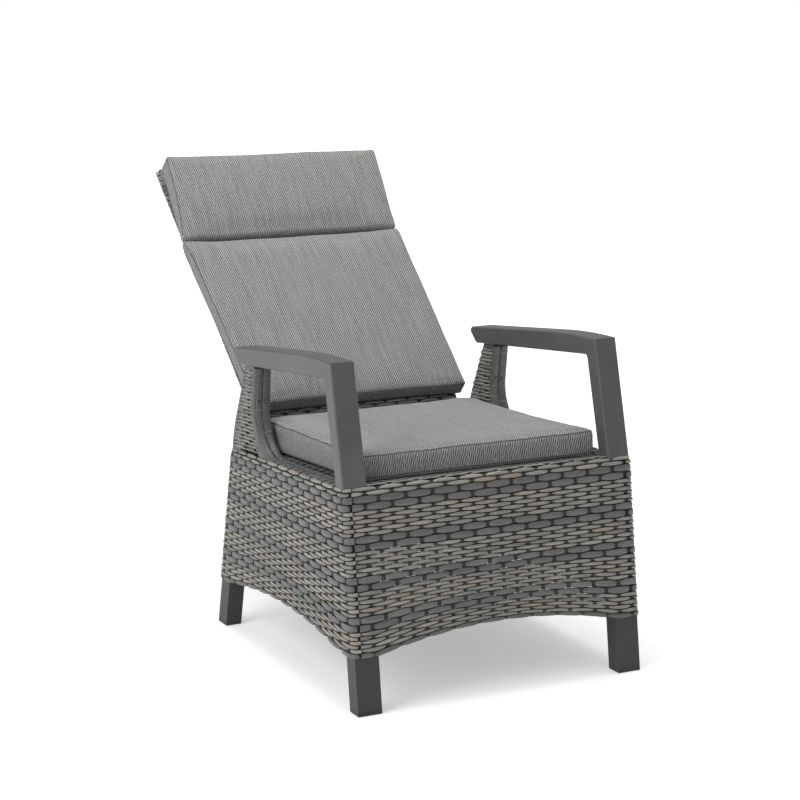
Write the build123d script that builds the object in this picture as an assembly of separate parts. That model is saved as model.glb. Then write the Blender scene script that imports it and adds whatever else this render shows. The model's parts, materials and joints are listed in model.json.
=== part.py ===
from build123d import *
import os
from math import atan2, cos, degrees, radians, sin, tan

# Reclining garden armchair, in millimetres. It faces -Y, and the sitter's right is -X.
# Everything is drawn with Y = 0 between the front and rear feet, and is moved at the end
# so that the origin is the middle of the chair's footprint on the floor, back reclined.

# Base frame
frame_half_width = 318      # outer faces of the front legs
tube_wall = 2
skin = 4                    # woven skin over the base frame
seat_top_front = 436        # top of the weave over the front rail
seat_slope = 3.8            # degrees, falling to the rear
arch_rise = 45              # of the weave's lower edge, on all four sides

front_leg_width = 51
front_leg_depth = 37
front_leg_floor_y = -382    # front face at the floor
front_lean = 7.8            # degrees
front_skin_bottom = 112

rear_leg_width = 35.3
rear_leg_depth = 42.4
rear_leg_floor_y = 319      # rear face at the floor
rear_leg_set_in = 0.4        # rear legs inside the front legs' outer faces
rear_leg_half_width = frame_half_width - rear_leg_set_in
rear_lean = 7.6
rear_splay = 2.5
rear_skin_bottom = 92
rear_leg_top = 385
rear_post_lean = 25.2       # of the upper part that carries the armrest
rear_post_bend = 290
rear_post_top_y = 187       # rear face under the armrest
rear_post_top_down = 79      # below the top of the armrest's front

foot_height = 9
foot_plug = 16
foot_edge = 2.5
plug_gap = 0.2

front_rail_depth = 25
front_rail_height = 40
seat_rail_width = 20
seat_rail_height = 25
bow_size = 18
stretcher_size = 14
rear_rail_diameter = 12
seat_bar_size = 20
seat_bar_front_y = -190
seat_bar_middle_y = -10
seat_bar_rear_y = 150

# Woven columns behind the armrests
column_front_y = 151        # front edge of the weave at column_front_z
column_front_z = 500
column_front_lean = 7
column_foot_bend = 92
deck_rear_y = 186

# Armrests
arm_half_width = frame_half_width + skin / 2
arm_width = 50.6
arm_wall = 2.5
arm_post_set_back = 0.3     # of the post's foot behind the leg's front face
arm_front_z = 669
arm_run = 177               # length of the arched front part of the top
arm_drop = 6.8              # degrees that the straight part falls to the rear
arm_rear_y = 236
arm_rear_cut = 24           # slant of the rear end
arm_rear_lip = 12           # height of the upright part of the rear end
arm_depth_front = 36
arm_depth_rear = 33
arm_post_lean = 13.86
arm_post_depth_top = 38.5
arm_post_depth_foot = 35.7
arm_toe_in = 1.3
arm_inner_bend = 10
arm_end_bend = 8
arm_end_small_bend = 5
arm_edge = 2.5

# Fixings of the armrests
plate = 3
bolt_diameter = 6
bolt_head = 10
bolt_head_height = 4
bolt_reach = 12
front_bolt_apart = 28
hole_gap = 0.2

# Backrest, drawn flat: X across, Y up the back from the pivot, Z to the front
recline = 47.4              # degrees from upright, as it stands
pivot_y = 228
pivot_z = 407
recline_forward = 30        # degrees of travel to the most upright place
recline_back = 4
back_side_room_low = 75      # beside the back, inside the frame's outer face
back_side_room_high = 60
back_top = 775
back_foot = -25
back_skin_low = 14
back_thickness = 20
back_skin = 3
stile_width = 20
back_bar = 20
back_bar_lows = (22, 262, 512)

# Pivots of the backrest
hinge_plate = 5
hinge_plate_height = 46
hinge_plate_front_y = 172
hinge_plate_round = 17
pivot_bolt = 8
pivot_head = 15
pivot_head_height = 5
bush_diameter = 12
bush_flange = 19
running_gap = 0.05
side_gap = 0.3

# Gas spring and its brackets
crank_radius = 65
crank_trail = 13            # degrees ahead of straight down, as it stands
crank_plate = 5
crank_gap = 0.6
crank_pin = 10
crank_pin_slack = 1.7       # the open pivot of the linkage, all round the pin
crank_round = 11
spring_front_y = -160
spring_front_z = 352
cylinder_diameter = 24
cylinder_length = 240
cylinder_bore = 20
cylinder_guide = 14
cylinder_end = 10
rod_diameter = 10
piston_length = 12
piston_room = 4
eye_width = 18
eye_diameter = 24
eye_neck = 12
eye_neck_length = 10
head_width = 20
head_height = 24
head_length = 42
head_round = 5
spring_pin = 8
spring_pin_head = 13
ear = 4
ear_reach = 13
spring_pin_head_height = 3
spring_bracket_web_y = -158
spring_bracket_web_low = 372
spring_bracket_half = 30
spring_bracket_bolt_x = 22
lever_pin = 4
lever_width = 4
lever_slot = 5
lever_hub = 10
lever_arm = 30
lever_tip = 8
lever_pin_y = 22            # behind the front pin
lever_pin_rise = 4          # above the rod's centre line
nipple_hole = 4
ferrule_diameter = 8
ferrule_bore = 5.4
ferrule_length = 12
ferrule_floor = 2
wire_hole = 2

# Release button in the sitter's right armrest
button_y = -176
button_drop = 18            # below the top of the armrest
button_diameter = 18
button_stand = 4
button_inside = 12
bezel_diameter = 27
bezel_height = 1.6
housing_diameter = 22
housing_length = 24
housing_floor = 3
cable_port = 5
cable_port_depth = 18

# Seat cushion
seat_cushion_side_room = 58
seat_cushion_front_y = -281
seat_cushion_rear_y = 196
seat_cushion_height = 58    # in the middle
seat_cushion_crown = 4600
cushion_drawn_in = 4        # in the middle of each side
cushion_corner = 22
cushion_gap = 0.3

# Back cushion, with its head section sewn on at a fold
back_cushion_overlap_low = 6     # each side past the woven back
back_cushion_overlap_high = 5
back_cushion_low = 69
back_cushion_fold = 525
back_cushion_top = 752
back_cushion_height = 43
head_height_middle = 50
back_cushion_crown = 3600
fold_width = 8
fold_thickness = 9
fold_tongue = 30
strap_width = 42
strap_thickness = 1.6

overrun = 60                # past a face that a cut goes right through


def slope(angle):
    return tan(radians(angle))


def front_face(z):
    return front_leg_floor_y + z * slope(front_lean)


def rear_face(z):
    return rear_leg_floor_y - z * slope(rear_lean)


def rear_outer(z):
    return rear_leg_half_width - min(z, rear_leg_top) * slope(rear_splay)


skin_front_y = front_face(seat_top_front) - skin
rear_post_top_z = arm_front_z - rear_post_top_down
back_half_width_low = frame_half_width - back_side_room_low
back_half_width_high = frame_half_width - back_side_room_high
seat_cushion_half_width = frame_half_width - seat_cushion_side_room
back_cushion_half_width_low = back_half_width_low + back_cushion_overlap_low
back_cushion_half_width_high = back_half_width_high + back_cushion_overlap_high


def seat_plane(y):
    return seat_top_front - (y - skin_front_y) * slope(seat_slope)


def side_slab(outline, x_low, x_high):
    # The outline is drawn in Y and Z and runs across from x_low to x_high
    return Pos(x_low, 0, 0) * extrude(Plane.YZ * outline, x_high - x_low, dir=(1, 0, 0))


def face_of(*pieces):
    return make_face([edge for piece in pieces for edge in piece.edges()])


def rod(start, end, diameter):
    # A round bar between two points
    axis = Vector(*end) - Vector(*start)
    return extrude(Plane(origin=start, z_dir=axis) * Circle(diameter / 2), axis.length)


def mirrored(part):
    return mirror(part, about=Plane.YZ)


def middle_solid(part):
    # The largest piece that is left after a cut
    return Part([part.solids().sort_by(SortBy.VOLUME)[-1]])


def leaning_prism(size, middle, z_low, z_high, run):
    # A prism of level section, whose middle moves by run while it rises
    base = Pos(middle[0], middle[1], z_low) * Rectangle(*size)
    return Part([Solid.extrude(base.face(), Vector(run[0], run[1], z_high - z_low))])


parts = {}


# Front legs, with a top plate under the armrest's post
post_foot_z = seat_top_front - skin
front_leg_x = frame_half_width - front_leg_width / 2


def front_leg_prism(inset, z_low, z_high):
    size = (front_leg_width - 2 * inset, front_leg_depth - 2 * inset)
    middle = (front_leg_x, front_face(z_low) + front_leg_depth / 2)
    run = (0, (z_high - z_low) * slope(front_lean))
    return leaning_prism(size, middle, z_low, z_high, run)


def rear_leg_prism(inset, z_low, z_high):
    size = (rear_leg_width - 2 * inset, rear_leg_depth - 2 * inset)
    middle = (rear_outer(z_low) - rear_leg_width / 2, rear_face(z_low) - rear_leg_depth / 2)
    rise = z_high - z_low
    run = (-rise * slope(rear_splay), -rise * slope(rear_lean))
    return leaning_prism(size, middle, z_low, z_high, run)


front_leg_solid = front_leg_prism(0, foot_height, post_foot_z)
front_leg = front_leg_solid - front_leg_prism(tube_wall, foot_height, post_foot_z - plate)
rear_leg_solid = rear_leg_prism(0, foot_height, rear_leg_top)
rear_leg = rear_leg_solid - rear_leg_prism(tube_wall, foot_height, rear_leg_top)


# Foot caps: a rounded tread with a plug up the tube
def foot_cap(prism):
    tread = prism(0, 0, foot_height)
    tread = fillet(tread.edges().group_by(Axis.Z)[0], foot_edge)
    return tread + prism(tube_wall + plug_gap, foot_height, foot_height + foot_plug)


front_foot = foot_cap(front_leg_prism)
rear_foot = foot_cap(rear_leg_prism)


# Armrest: one inverted L, arched on top, toed in to the rear
arm_foot_y = front_face(post_foot_z) + arm_post_set_back
arm_front_y = arm_foot_y + (arm_front_z - post_foot_z) * slope(arm_post_lean)
arch_end = (arm_front_y + arm_run, arm_front_z - arm_run * slope(arm_drop / 2))
arm_rear_z = arch_end[1] - (arm_rear_y - arch_end[0]) * slope(arm_drop)
arm_corner = (arm_front_y + arm_post_depth_top - arm_depth_front * slope(arm_post_lean),
              arm_front_z - arm_depth_front)
arm_heel = (arm_rear_y - arm_rear_cut, arm_rear_z - arm_depth_rear)


def arm_outline():
    top = TangentArc((arm_front_y, arm_front_z), arch_end, tangent=(1, 0))
    under = FilletPolyline(
        arch_end,
        (arm_rear_y, arm_rear_z),
        (arm_rear_y, arm_rear_z - arm_rear_lip),
        arm_heel,
        arm_corner,
        (arm_foot_y + arm_post_depth_foot, post_foot_z),
        radius=[arm_end_bend, arm_end_small_bend, arm_end_small_bend, arm_inner_bend])
    foot = Polyline((arm_foot_y + arm_post_depth_foot, post_foot_z),
                    (arm_foot_y, post_foot_z), (arm_front_y, arm_front_z))
    return face_of(top, under, foot)


arm_pivot = (arm_half_width, front_face(post_foot_z), 0)
toe_in = Pos(*arm_pivot) * Rot(0, 0, arm_toe_in) * Pos(-arm_half_width, -arm_pivot[1], 0)
arm_face = arm_outline()
arm_solid = toe_in * side_slab(arm_face, arm_half_width - arm_width, arm_half_width)
arm_shell = side_slab(arm_face, arm_half_width - arm_width, arm_half_width)
arm_shell = chamfer(arm_shell.faces().sort_by(Axis.X)[-1].outer_wire().edges(), arm_edge)
arm_shell = chamfer(arm_shell.faces().sort_by(Axis.X)[0].outer_wire().edges(), arm_edge)
arm_hollow = offset(arm_face, amount=-arm_wall, kind=Kind.INTERSECTION)
arm_shell -= side_slab(arm_hollow, arm_half_width - arm_width + arm_wall, arm_half_width - arm_wall)
arm_shell = toe_in * arm_shell


# Rear posts rise inside the woven columns and bend forward to the armrests
def rear_post_curve(shift):
    bend_z = (rear_leg_floor_y - rear_post_top_y - rear_post_top_z * slope(rear_post_lean)) / (
        slope(rear_lean) - slope(rear_post_lean))
    top_z = rear_post_top_z + overrun
    top_y = rear_post_top_y - overrun * slope(rear_post_lean)
    return FilletPolyline((rear_face(rear_leg_top) + shift, rear_leg_top),
                          (rear_face(bend_z) + shift, bend_z),
                          (top_y + shift, top_z), radius=rear_post_bend)


def rear_post_outline(inset):
    rear = rear_post_curve(-inset)
    front = rear_post_curve(inset - rear_leg_depth)
    return face_of(rear, Line(rear @ 1, front @ 1), front, Line(front @ 0, rear @ 0))


post_outer_x = rear_outer(rear_leg_top)
post_inner_x = post_outer_x - rear_leg_width
rear_post_solid = side_slab(rear_post_outline(0), post_inner_x, post_outer_x) - arm_solid
rear_post_solid = rear_post_solid.solids().sort_by(Axis.Z)[0]
post_cavity = side_slab(rear_post_outline(tube_wall), post_inner_x + tube_wall,
                        post_outer_x - tube_wall)
post_cavity -= Pos(0, 0, -plate) * arm_solid
post_cavity = post_cavity.solids().sort_by(Axis.Z)[0]
rear_post = Part([rear_post_solid]) - Part([post_cavity])


# Rails and bars of the base
def front_rail_outline(inset):
    z_low = post_foot_z - front_rail_height + inset
    z_high = post_foot_z - inset
    return make_face(Polyline(
        (front_face(z_low) + inset, z_low), (front_face(z_high) + inset, z_high),
        (front_face(z_high) + front_rail_depth - inset, z_high),
        (front_face(z_low) + front_rail_depth - inset, z_low), close=True))


leg_inner_x = frame_half_width - front_leg_width
front_rail = side_slab(front_rail_outline(0), -leg_inner_x, leg_inner_x)
front_rail -= side_slab(front_rail_outline(tube_wall), -leg_inner_x, leg_inner_x)

column_inner_x = post_inner_x - skin
seat_rail_x = column_inner_x - (skin - tube_wall)
rail_front_y = front_face(post_foot_z) + front_rail_depth


def seat_strip(y_front, y_rear, down, height, inset):
    # A strip that follows the slope of the seat, its top that far down
    top = down + inset
    low = down + height - inset
    return make_face(Polyline(
        (y_front, seat_plane(y_front) - top), (y_rear, seat_plane(y_rear) - top),
        (y_rear, seat_plane(y_rear) - low), (y_front, seat_plane(y_front) - low), close=True))


rail_rear_y = rear_face(rear_leg_top)


def seat_rail_box(inset):
    outline = seat_strip(rail_front_y, rail_rear_y, skin, seat_rail_height, inset)
    return side_slab(outline, seat_rail_x + inset, seat_rail_x + seat_rail_width - inset)


leg_and_post = rear_leg_solid + rear_post_solid
front_rail_solid = side_slab(front_rail_outline(0), -leg_inner_x, leg_inner_x)
seat_rail = seat_rail_box(0) - seat_rail_box(tube_wall) - leg_and_post - front_rail_solid
seat_rail = middle_solid(seat_rail - front_leg_solid)


def seat_bar(y):
    half = seat_rail_x
    outer = side_slab(seat_strip(y, y + seat_bar_size, skin, seat_bar_size, 0), -half, half)
    core = seat_strip(y + tube_wall, y + seat_bar_size - tube_wall, skin, seat_bar_size, tube_wall)
    return outer - side_slab(core, -half, half)


# Side bow: it carries the edge of the seat and sweeps up into the column
bow_drop = skin + 2 * side_gap + bow_size / 2
bow_line_y = column_front_y + bow_drop
bow_low_z = seat_plane(bow_line_y) - bow_drop
bow_corner_y = bow_line_y + (column_front_z - bow_low_z) * slope(column_front_lean)
bow_top_y = bow_line_y - (rear_post_top_z - column_front_z) * slope(column_front_lean)
side_bend_y = front_face(post_foot_z) + front_leg_depth


def side_inner_x(y, z):
    # Inside of the skin: along the front leg, then drawing in to the column
    share = max((y - side_bend_y) / (bow_corner_y - side_bend_y), 0)
    return frame_half_width + share * (rear_outer(z) - frame_half_width)


bow_start_y = side_bend_y - overrun
bow_start_x = side_inner_x(bow_start_y, seat_top_front) - 2 * side_gap - bow_size / 2
bow_rear_x = post_outer_x - 2 * side_gap - bow_size / 2
bow_points = [(bow_start_x, bow_start_y, seat_plane(bow_start_y) - bow_drop),
              (bow_rear_x, bow_corner_y, seat_plane(bow_corner_y) - bow_drop),
              (bow_rear_x, bow_top_y, rear_post_top_z)]
bow_path = FilletPolyline(*bow_points, radius=column_foot_bend + bow_drop)


def tube_along(path, size, side):
    # A square tube that bends in the plane whose normal is its side
    start = Plane(origin=path @ 0, x_dir=side, z_dir=path % 0)
    bore = size - 2 * tube_wall
    return sweep(start * Rectangle(size, size), path=path) - sweep(
        start * Rectangle(bore, bore), path=path)


side_bow = tube_along(bow_path, bow_size, (bow_path % 0).cross(bow_path % 1))
side_bow = side_bow - front_leg_solid - leg_and_post - arm_solid
side_bow = middle_solid(side_bow)


# Stretchers follow the arched lower edge of the weave
def arch_wire(half_span, z_low, rise, beyond=0):
    # Carried on past both ends of the span by the same curve
    share = (1 + beyond / half_span) ** 2
    end_z = z_low + rise * (1 - share)
    end_x = half_span + beyond
    return ThreePointArc((-end_x, end_z), (0, z_low + rise), (end_x, end_z))


stretcher_drop = skin / 2 + stretcher_size / 2
stretcher_set_in = side_gap + stretcher_size / 2


def leaning_stretcher(half_span, z_low, floor_y, lean):
    stretch = 1 / cos(radians(lean))
    up = Plane(origin=(0, floor_y, 0), x_dir=(1, 0, 0),
               z_dir=(0, -cos(radians(lean)), sin(radians(lean))))
    arc = arch_wire(half_span, z_low * stretch, arch_rise * stretch, stretcher_size)
    return tube_along(up * arc, stretcher_size, up.z_dir)


front_stretcher_y = front_leg_floor_y + stretcher_set_in / cos(radians(front_lean))
front_stretcher = leaning_stretcher(leg_inner_x, front_skin_bottom + stretcher_drop,
                                    front_stretcher_y, front_lean)
front_stretcher = middle_solid(front_stretcher - front_leg_solid - mirrored(front_leg_solid))

rear_arch_half = rear_outer(rear_skin_bottom) - rear_leg_width
rear_stretcher_y = rear_leg_floor_y - stretcher_set_in / cos(radians(rear_lean))
rear_stretcher = leaning_stretcher(rear_arch_half, rear_skin_bottom + stretcher_drop,
                                   rear_stretcher_y, -rear_lean)
rear_stretcher = middle_solid(rear_stretcher - rear_leg_solid - mirrored(rear_leg_solid))

side_low_front = (front_face(front_skin_bottom), front_skin_bottom)
side_low_rear = (rear_face(rear_skin_bottom), rear_skin_bottom)
side_low_middle = ((side_low_front[0] + side_low_rear[0]) / 2,
                   (side_low_front[1] + side_low_rear[1]) / 2 + arch_rise)


def side_stretcher_point(y, z):
    set_in = stretcher_set_in + side_gap
    return (side_inner_x(y, side_low_middle[1]) - set_in, y, z + stretcher_drop)


side_arc = ThreePointArc(*[side_stretcher_point(*place) for place in (
    side_low_front, side_low_middle, side_low_rear)])
side_stretcher = tube_along(side_arc, stretcher_size, (side_arc % 0).cross(side_arc % 1))
side_stretcher = middle_solid(side_stretcher - front_leg_solid - rear_leg_solid)

rear_rail_z = rear_leg_top - rear_rail_diameter / 2
rear_rail_y = rear_face(rear_leg_top) - rear_rail_diameter / 2
rear_rail = rod((-post_outer_x, rear_rail_y, rear_rail_z),
                (post_outer_x, rear_rail_y, rear_rail_z), rear_rail_diameter)
rear_rail -= rod((-post_outer_x, rear_rail_y, rear_rail_z),
                 (post_outer_x, rear_rail_y, rear_rail_z), rear_rail_diameter - 2 * tube_wall)
rear_rail = middle_solid(rear_rail - seat_rail_box(0) - mirrored(seat_rail_box(0)))


# Woven skins of the base
def side_outline():
    # Side view of the skin: panel, arched lower edge, and column up to the armrest
    rear = rear_post_curve(skin / cos(radians(rear_post_lean)))
    rear_start = (rear_face(rear_leg_top), rear_leg_top)
    high_z = rear_post_top_z + overrun
    high_y = column_front_y - (high_z - column_front_z) * slope(column_front_lean)
    corner_z = seat_plane(column_front_y)
    corner_y = column_front_y + (column_front_z - corner_z) * slope(column_front_lean)
    front_top = (front_face(seat_top_front), seat_top_front)
    low = ThreePointArc(side_low_front, side_low_middle, side_low_rear)
    back = Polyline(side_low_rear, rear_start, rear @ 0)
    front = FilletPolyline((high_y, high_z), (corner_y, seat_plane(corner_y)), front_top,
                           radius=column_foot_bend)
    return face_of(low, back, rear, Line(rear @ 1, front @ 0), front,
                   Line(front_top, side_low_front))


def side_block(x_inner, inset):
    # Between a level inner face and the outside of the skin, which draws in to the rear
    z_low = rear_skin_bottom - overrun
    z_high = rear_post_top_z + overrun
    front_x = frame_half_width + skin - inset
    sections = []
    for y, splayed in ((front_leg_floor_y, False), (side_bend_y, False), (bow_corner_y, True),
                       (rear_leg_floor_y, True)):
        low_x = rear_outer(z_low) + skin - inset if splayed else front_x
        high_x = rear_outer(rear_leg_top) + skin - inset if splayed else front_x
        ring = Polyline((x_inner, y, z_low), (low_x, y, z_low), (high_x, y, rear_leg_top),
                        (high_x, y, z_high), (x_inner, y, z_high), close=True)
        sections.append(make_face(ring))
    return loft(sections, ruled=True)


reach = frame_half_width + overrun
skin_outline = side_outline()
skin_inner = offset(skin_outline, amount=-skin, kind=Kind.INTERSECTION)
under_seat = make_face(Polyline(
    (front_leg_floor_y - overrun, seat_plane(front_leg_floor_y - overrun) - skin),
    (rear_leg_floor_y, seat_plane(rear_leg_floor_y) - skin),
    (rear_leg_floor_y, 0), (front_leg_floor_y - overrun, 0), close=True))
wicker_side = side_slab(skin_outline, 0, reach) & side_block(column_inner_x, 0)
wicker_side -= side_slab(skin_inner, 0, reach) & side_block(post_inner_x, skin)
wicker_side -= side_slab(under_seat, 0, reach) & side_block(0, skin)


def front_strip(y_gain_front, y_gain_rear, z_low, z_high, half_span):
    outline = make_face(Polyline(
        (front_face(z_low) + y_gain_front, z_low), (front_face(z_high) + y_gain_front, z_high),
        (front_face(z_high) + y_gain_rear, z_high), (front_face(z_low) + y_gain_rear, z_low),
        close=True))
    return side_slab(outline, -half_span, half_span)


def arched_panel(half_low, half_high, arch_half, z_low, z_high):
    # Front view of a woven panel with its arched lower edge, as a thick cutter
    arc = arch_wire(arch_half, z_low, arch_rise)
    rest = Polyline((arch_half, z_low), (half_low, z_low), (half_high, z_high),
                    (-half_high, z_high), (-half_low, z_low), (-arch_half, z_low))
    face = Plane(origin=(0, reach, 0), x_dir=(1, 0, 0), z_dir=(0, -1, 0)) * face_of(arc, rest)
    return extrude(face, 2 * reach + front_leg_depth * 2, dir=(0, -1, 0))


wide = frame_half_width + skin
wicker_front = front_strip(-skin, 0, 0, seat_top_front, wide)
wicker_front &= arched_panel(wide, wide, leg_inner_x, front_skin_bottom, seat_top_front)
wicker_front += front_strip(-skin, front_rail_depth, post_foot_z, seat_top_front, leg_inner_x)
wicker_front = middle_solid(wicker_front - arm_solid - mirrored(arm_solid))
wicker_side = wicker_side - arm_solid - front_leg_solid - rear_post_solid
wicker_side = middle_solid(wicker_side - front_rail_solid - wicker_front)

rear_strip_outline = make_face(Polyline(
    (rear_face(0), 0), (rear_face(rear_leg_top), rear_leg_top),
    (rear_face(rear_leg_top) + skin, rear_leg_top), (rear_face(0) + skin, 0), close=True))
wicker_rear = side_slab(rear_strip_outline, -reach, reach)
wicker_rear &= arched_panel(rear_outer(rear_skin_bottom) + skin, post_outer_x + skin,
                            rear_arch_half, rear_skin_bottom, rear_leg_top)
wicker_rear = middle_solid(wicker_rear)

deck_front_y = front_face(seat_top_front) + front_rail_depth
wicker_seat = side_slab(seat_strip(deck_front_y, deck_rear_y, 0, skin, 0),
                        -column_inner_x, column_inner_x)
wicker_seat -= arm_solid + front_leg_solid + mirrored(arm_solid + front_leg_solid)
wicker_seat = middle_solid(wicker_seat)


# Backrest: everything on it is drawn flat and set back by the recline
crank_x = eye_width / 2 + crank_gap
crank_width_half = crank_x + crank_plate
back_frame = Plane(origin=(0, pivot_y, pivot_z), x_dir=(1, 0, 0),
                   z_dir=(0, -cos(radians(recline)), sin(radians(recline))))
back_flare = (back_half_width_high - back_half_width_low) / back_top
core_thickness = back_thickness - 2 * back_skin


def on_back(part):
    return back_frame.location * part


def half_width(along, inset):
    return back_half_width_low + along * back_flare - inset


def back_board(low, high, inset, thickness, middle=0):
    # A board as wide as the back, tapering with it
    outline = make_face(Polyline(
        (-half_width(low, inset), low), (half_width(low, inset), low),
        (half_width(high, inset), high), (-half_width(high, inset), high), close=True))
    return extrude(Pos(0, 0, middle - thickness / 2) * outline, thickness, dir=(0, 0, 1))


def stile_box(inset):
    low, high = back_foot, back_top - back_skin
    outline = make_face(Polyline(
        (half_width(low, back_skin + inset), low), (half_width(high, back_skin + inset), high),
        (half_width(high, back_skin + stile_width - inset), high),
        (half_width(low, back_skin + stile_width - inset), low), close=True))
    thickness = core_thickness - 2 * inset
    return extrude(Pos(0, 0, -thickness / 2) * outline, thickness, dir=(0, 0, 1))


def across(part_x, length, diameter, y=0, z=0):
    # A round bar along X that starts at part_x
    return Pos(part_x, y, z) * Rot(0, 90, 0) * Cylinder(
        diameter / 2, length, align=(Align.CENTER, Align.CENTER, Align.MIN))


bush_hole = across(0, reach, bush_diameter)
stile = stile_box(0) - stile_box(tube_wall) - bush_hole


def back_crossbar(low, high):
    outer = back_board(low, high, back_skin + stile_width, core_thickness)
    core = back_board(low + tube_wall, high - tube_wall, back_skin + stile_width,
                      core_thickness - 2 * tube_wall)
    return outer - core


back_bars = [back_crossbar(low, low + back_bar) for low in back_bar_lows]
back_top_bar = back_crossbar(back_top - back_skin - back_bar, back_top - back_skin)

wicker_back = back_board(back_skin_low, back_top, 0, back_thickness)
wicker_back -= back_board(back_skin_low - overrun, back_top - back_skin, back_skin, core_thickness)
crank_room = crank_width_half + side_gap
wicker_back -= Pos(0, back_bar_lows[0], 0) * Box(
    2 * crank_room, overrun, back_thickness, align=(Align.CENTER, Align.MAX, Align.MAX))
wicker_back = fillet(wicker_back.edges().group_by(Axis.Y)[-1].filter_by(Axis.X), back_skin)


# Pivots: flanged bushes in the stiles, on bolts in the hinge plates
stile_outer = half_width(0, back_skin)
stile_inner = stile_outer - stile_width
plate_inner = seat_rail_x - hinge_plate
flange_outer = plate_inner - side_gap
flange_inner = half_width(bush_flange / 2, back_skin)
back_bush = across(stile_inner, flange_inner - stile_inner, bush_diameter)
back_bush += across(flange_inner, flange_outer - flange_inner, bush_flange)
back_bush -= across(0, reach, pivot_bolt + 2 * running_gap)
pivot_shank = across(stile_inner - side_gap, seat_rail_x - stile_inner + side_gap, pivot_bolt)
pivot_bolts = pivot_shank + across(stile_inner - side_gap - pivot_head_height,
                                   pivot_head_height, pivot_head)
pivot_bolts = Pos(0, pivot_y, pivot_z) * pivot_bolts


def hinge_plate_outline():
    low_z = pivot_z - hinge_plate_height + hinge_plate_round
    rear_y = deck_rear_y + side_gap
    nose = Pos(pivot_y, pivot_z) * Circle(hinge_plate_round)
    foot = make_face(Polyline(
        (hinge_plate_front_y, seat_plane(hinge_plate_front_y) - skin),
        (rear_y, seat_plane(rear_y) - skin),
        (pivot_y - hinge_plate_round, pivot_z), (pivot_y + hinge_plate_round, pivot_z),
        (pivot_y + hinge_plate_round, low_z), (hinge_plate_front_y, low_z), close=True))
    return nose + foot


hinge_plate_solid = side_slab(hinge_plate_outline().face(), plate_inner, seat_rail_x)
hinge_plate_solid -= Pos(0, pivot_y, pivot_z) * across(0, reach, pivot_bolt)


# Crank on the lowest bar of the back, and the linkage that holds the recline
def crank_pin_at(turn):
    angle = radians(turn - crank_trail)
    return (pivot_y + crank_radius * sin(angle), pivot_z - crank_radius * cos(angle))


rest_pin_y, rest_pin_z = crank_pin_at(0)
rest_pin = Vector(0, rest_pin_y, rest_pin_z)
front_pin = Vector(0, spring_front_y, spring_front_z)
pin_on_back = back_frame.to_local_coords(rest_pin)


def spring_line(turn):
    # Length and tilt of the gas spring with the back turned that far forward
    y, z = crank_pin_at(turn)
    line = Vector(0, y, z) - front_pin
    return line.length, degrees(atan2(line.Z, line.Y))


rest_length, rest_tilt = spring_line(0)
spring_frame = Plane(origin=front_pin, x_dir=(1, 0, 0),
                     z_dir=(0, -sin(radians(rest_tilt)), cos(radians(rest_tilt))))


def on_spring(part):
    # Drawn with Y along the gas spring from its front pin
    return spring_frame.location * part


def crank_outline():
    bar_low = back_bar_lows[0]
    bar_half = core_thickness / 2
    boss = Pos(pin_on_back.Y, pin_on_back.Z) * Circle(crank_round)
    away = Vector(pin_on_back.Y - bar_low, pin_on_back.Z)
    side = Vector(-away.Y, away.X).normalized() * crank_round
    web = make_face(Polyline(
        (bar_low, -bar_half), (bar_low, bar_half),
        (pin_on_back.Y - side.X, pin_on_back.Z - side.Y),
        (pin_on_back.Y + side.X, pin_on_back.Z + side.Y), close=True))
    return (boss + web).face()


crank_hole = Pos(0, pin_on_back.Y, pin_on_back.Z) * across(-reach, 2 * reach, crank_pin)
crank_plates = side_slab(crank_outline(), crank_x, crank_width_half)
crank_plates = crank_plates + mirrored(crank_plates) - crank_hole
crank_pin_bar = across(-crank_width_half, 2 * crank_width_half, crank_pin,
                       pin_on_back.Y, pin_on_back.Z)


def along_spring(start, length, diameter):
    # A round bar along the gas spring
    return Pos(0, start, 0) * Rot(-90, 0, 0) * Cylinder(
        diameter / 2, length, align=(Align.CENTER, Align.CENTER, Align.MIN))


cylinder_rear = rest_length - eye_diameter / 2 - eye_neck_length
cylinder_front = cylinder_rear - cylinder_length
gas_cylinder = along_spring(cylinder_front, cylinder_length, cylinder_diameter)
gas_cylinder -= along_spring(cylinder_front + cylinder_guide,
                             cylinder_length - cylinder_guide - cylinder_end, cylinder_bore)
gas_cylinder -= along_spring(cylinder_front - overrun, overrun + cylinder_guide,
                             rod_diameter + 2 * running_gap)
cylinder_eye = along_spring(cylinder_rear, eye_neck_length + eye_diameter / 2, eye_neck)
cylinder_eye += across(-eye_width / 2, eye_width, eye_diameter, rest_length)
cylinder_eye -= across(-reach, 2 * reach, crank_pin + 2 * crank_pin_slack, rest_length)

piston_travel = spring_line(recline_forward)[0] - rest_length
piston_front = cylinder_front + cylinder_guide + piston_travel + piston_room
head_rear = head_length - spring_pin_head
spring_rod = along_spring(head_rear, piston_front - head_rear, rod_diameter)
spring_rod += along_spring(piston_front, piston_length, cylinder_bore - 2 * side_gap)

head_block = Pos(0, head_rear - head_length / 2, 0) * Box(head_width, head_length, head_height)
head_block = chamfer(head_block.edges().filter_by(Axis.X), head_round)
lever_room = Box(lever_slot, 2 * lever_hub, head_height,
                 align=(Align.CENTER, Align.CENTER, Align.MIN))
release_head = head_block - across(-reach, 2 * reach, spring_pin + 2 * running_gap)
release_head -= Pos(0, lever_pin_y, lever_pin_rise - lever_hub / 2 - side_gap) * lever_room
release_head -= across(-reach, 2 * reach, lever_pin, lever_pin_y, lever_pin_rise)
lever_pin_bar = across(-head_width / 2, head_width, lever_pin, lever_pin_y, lever_pin_rise)

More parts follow.
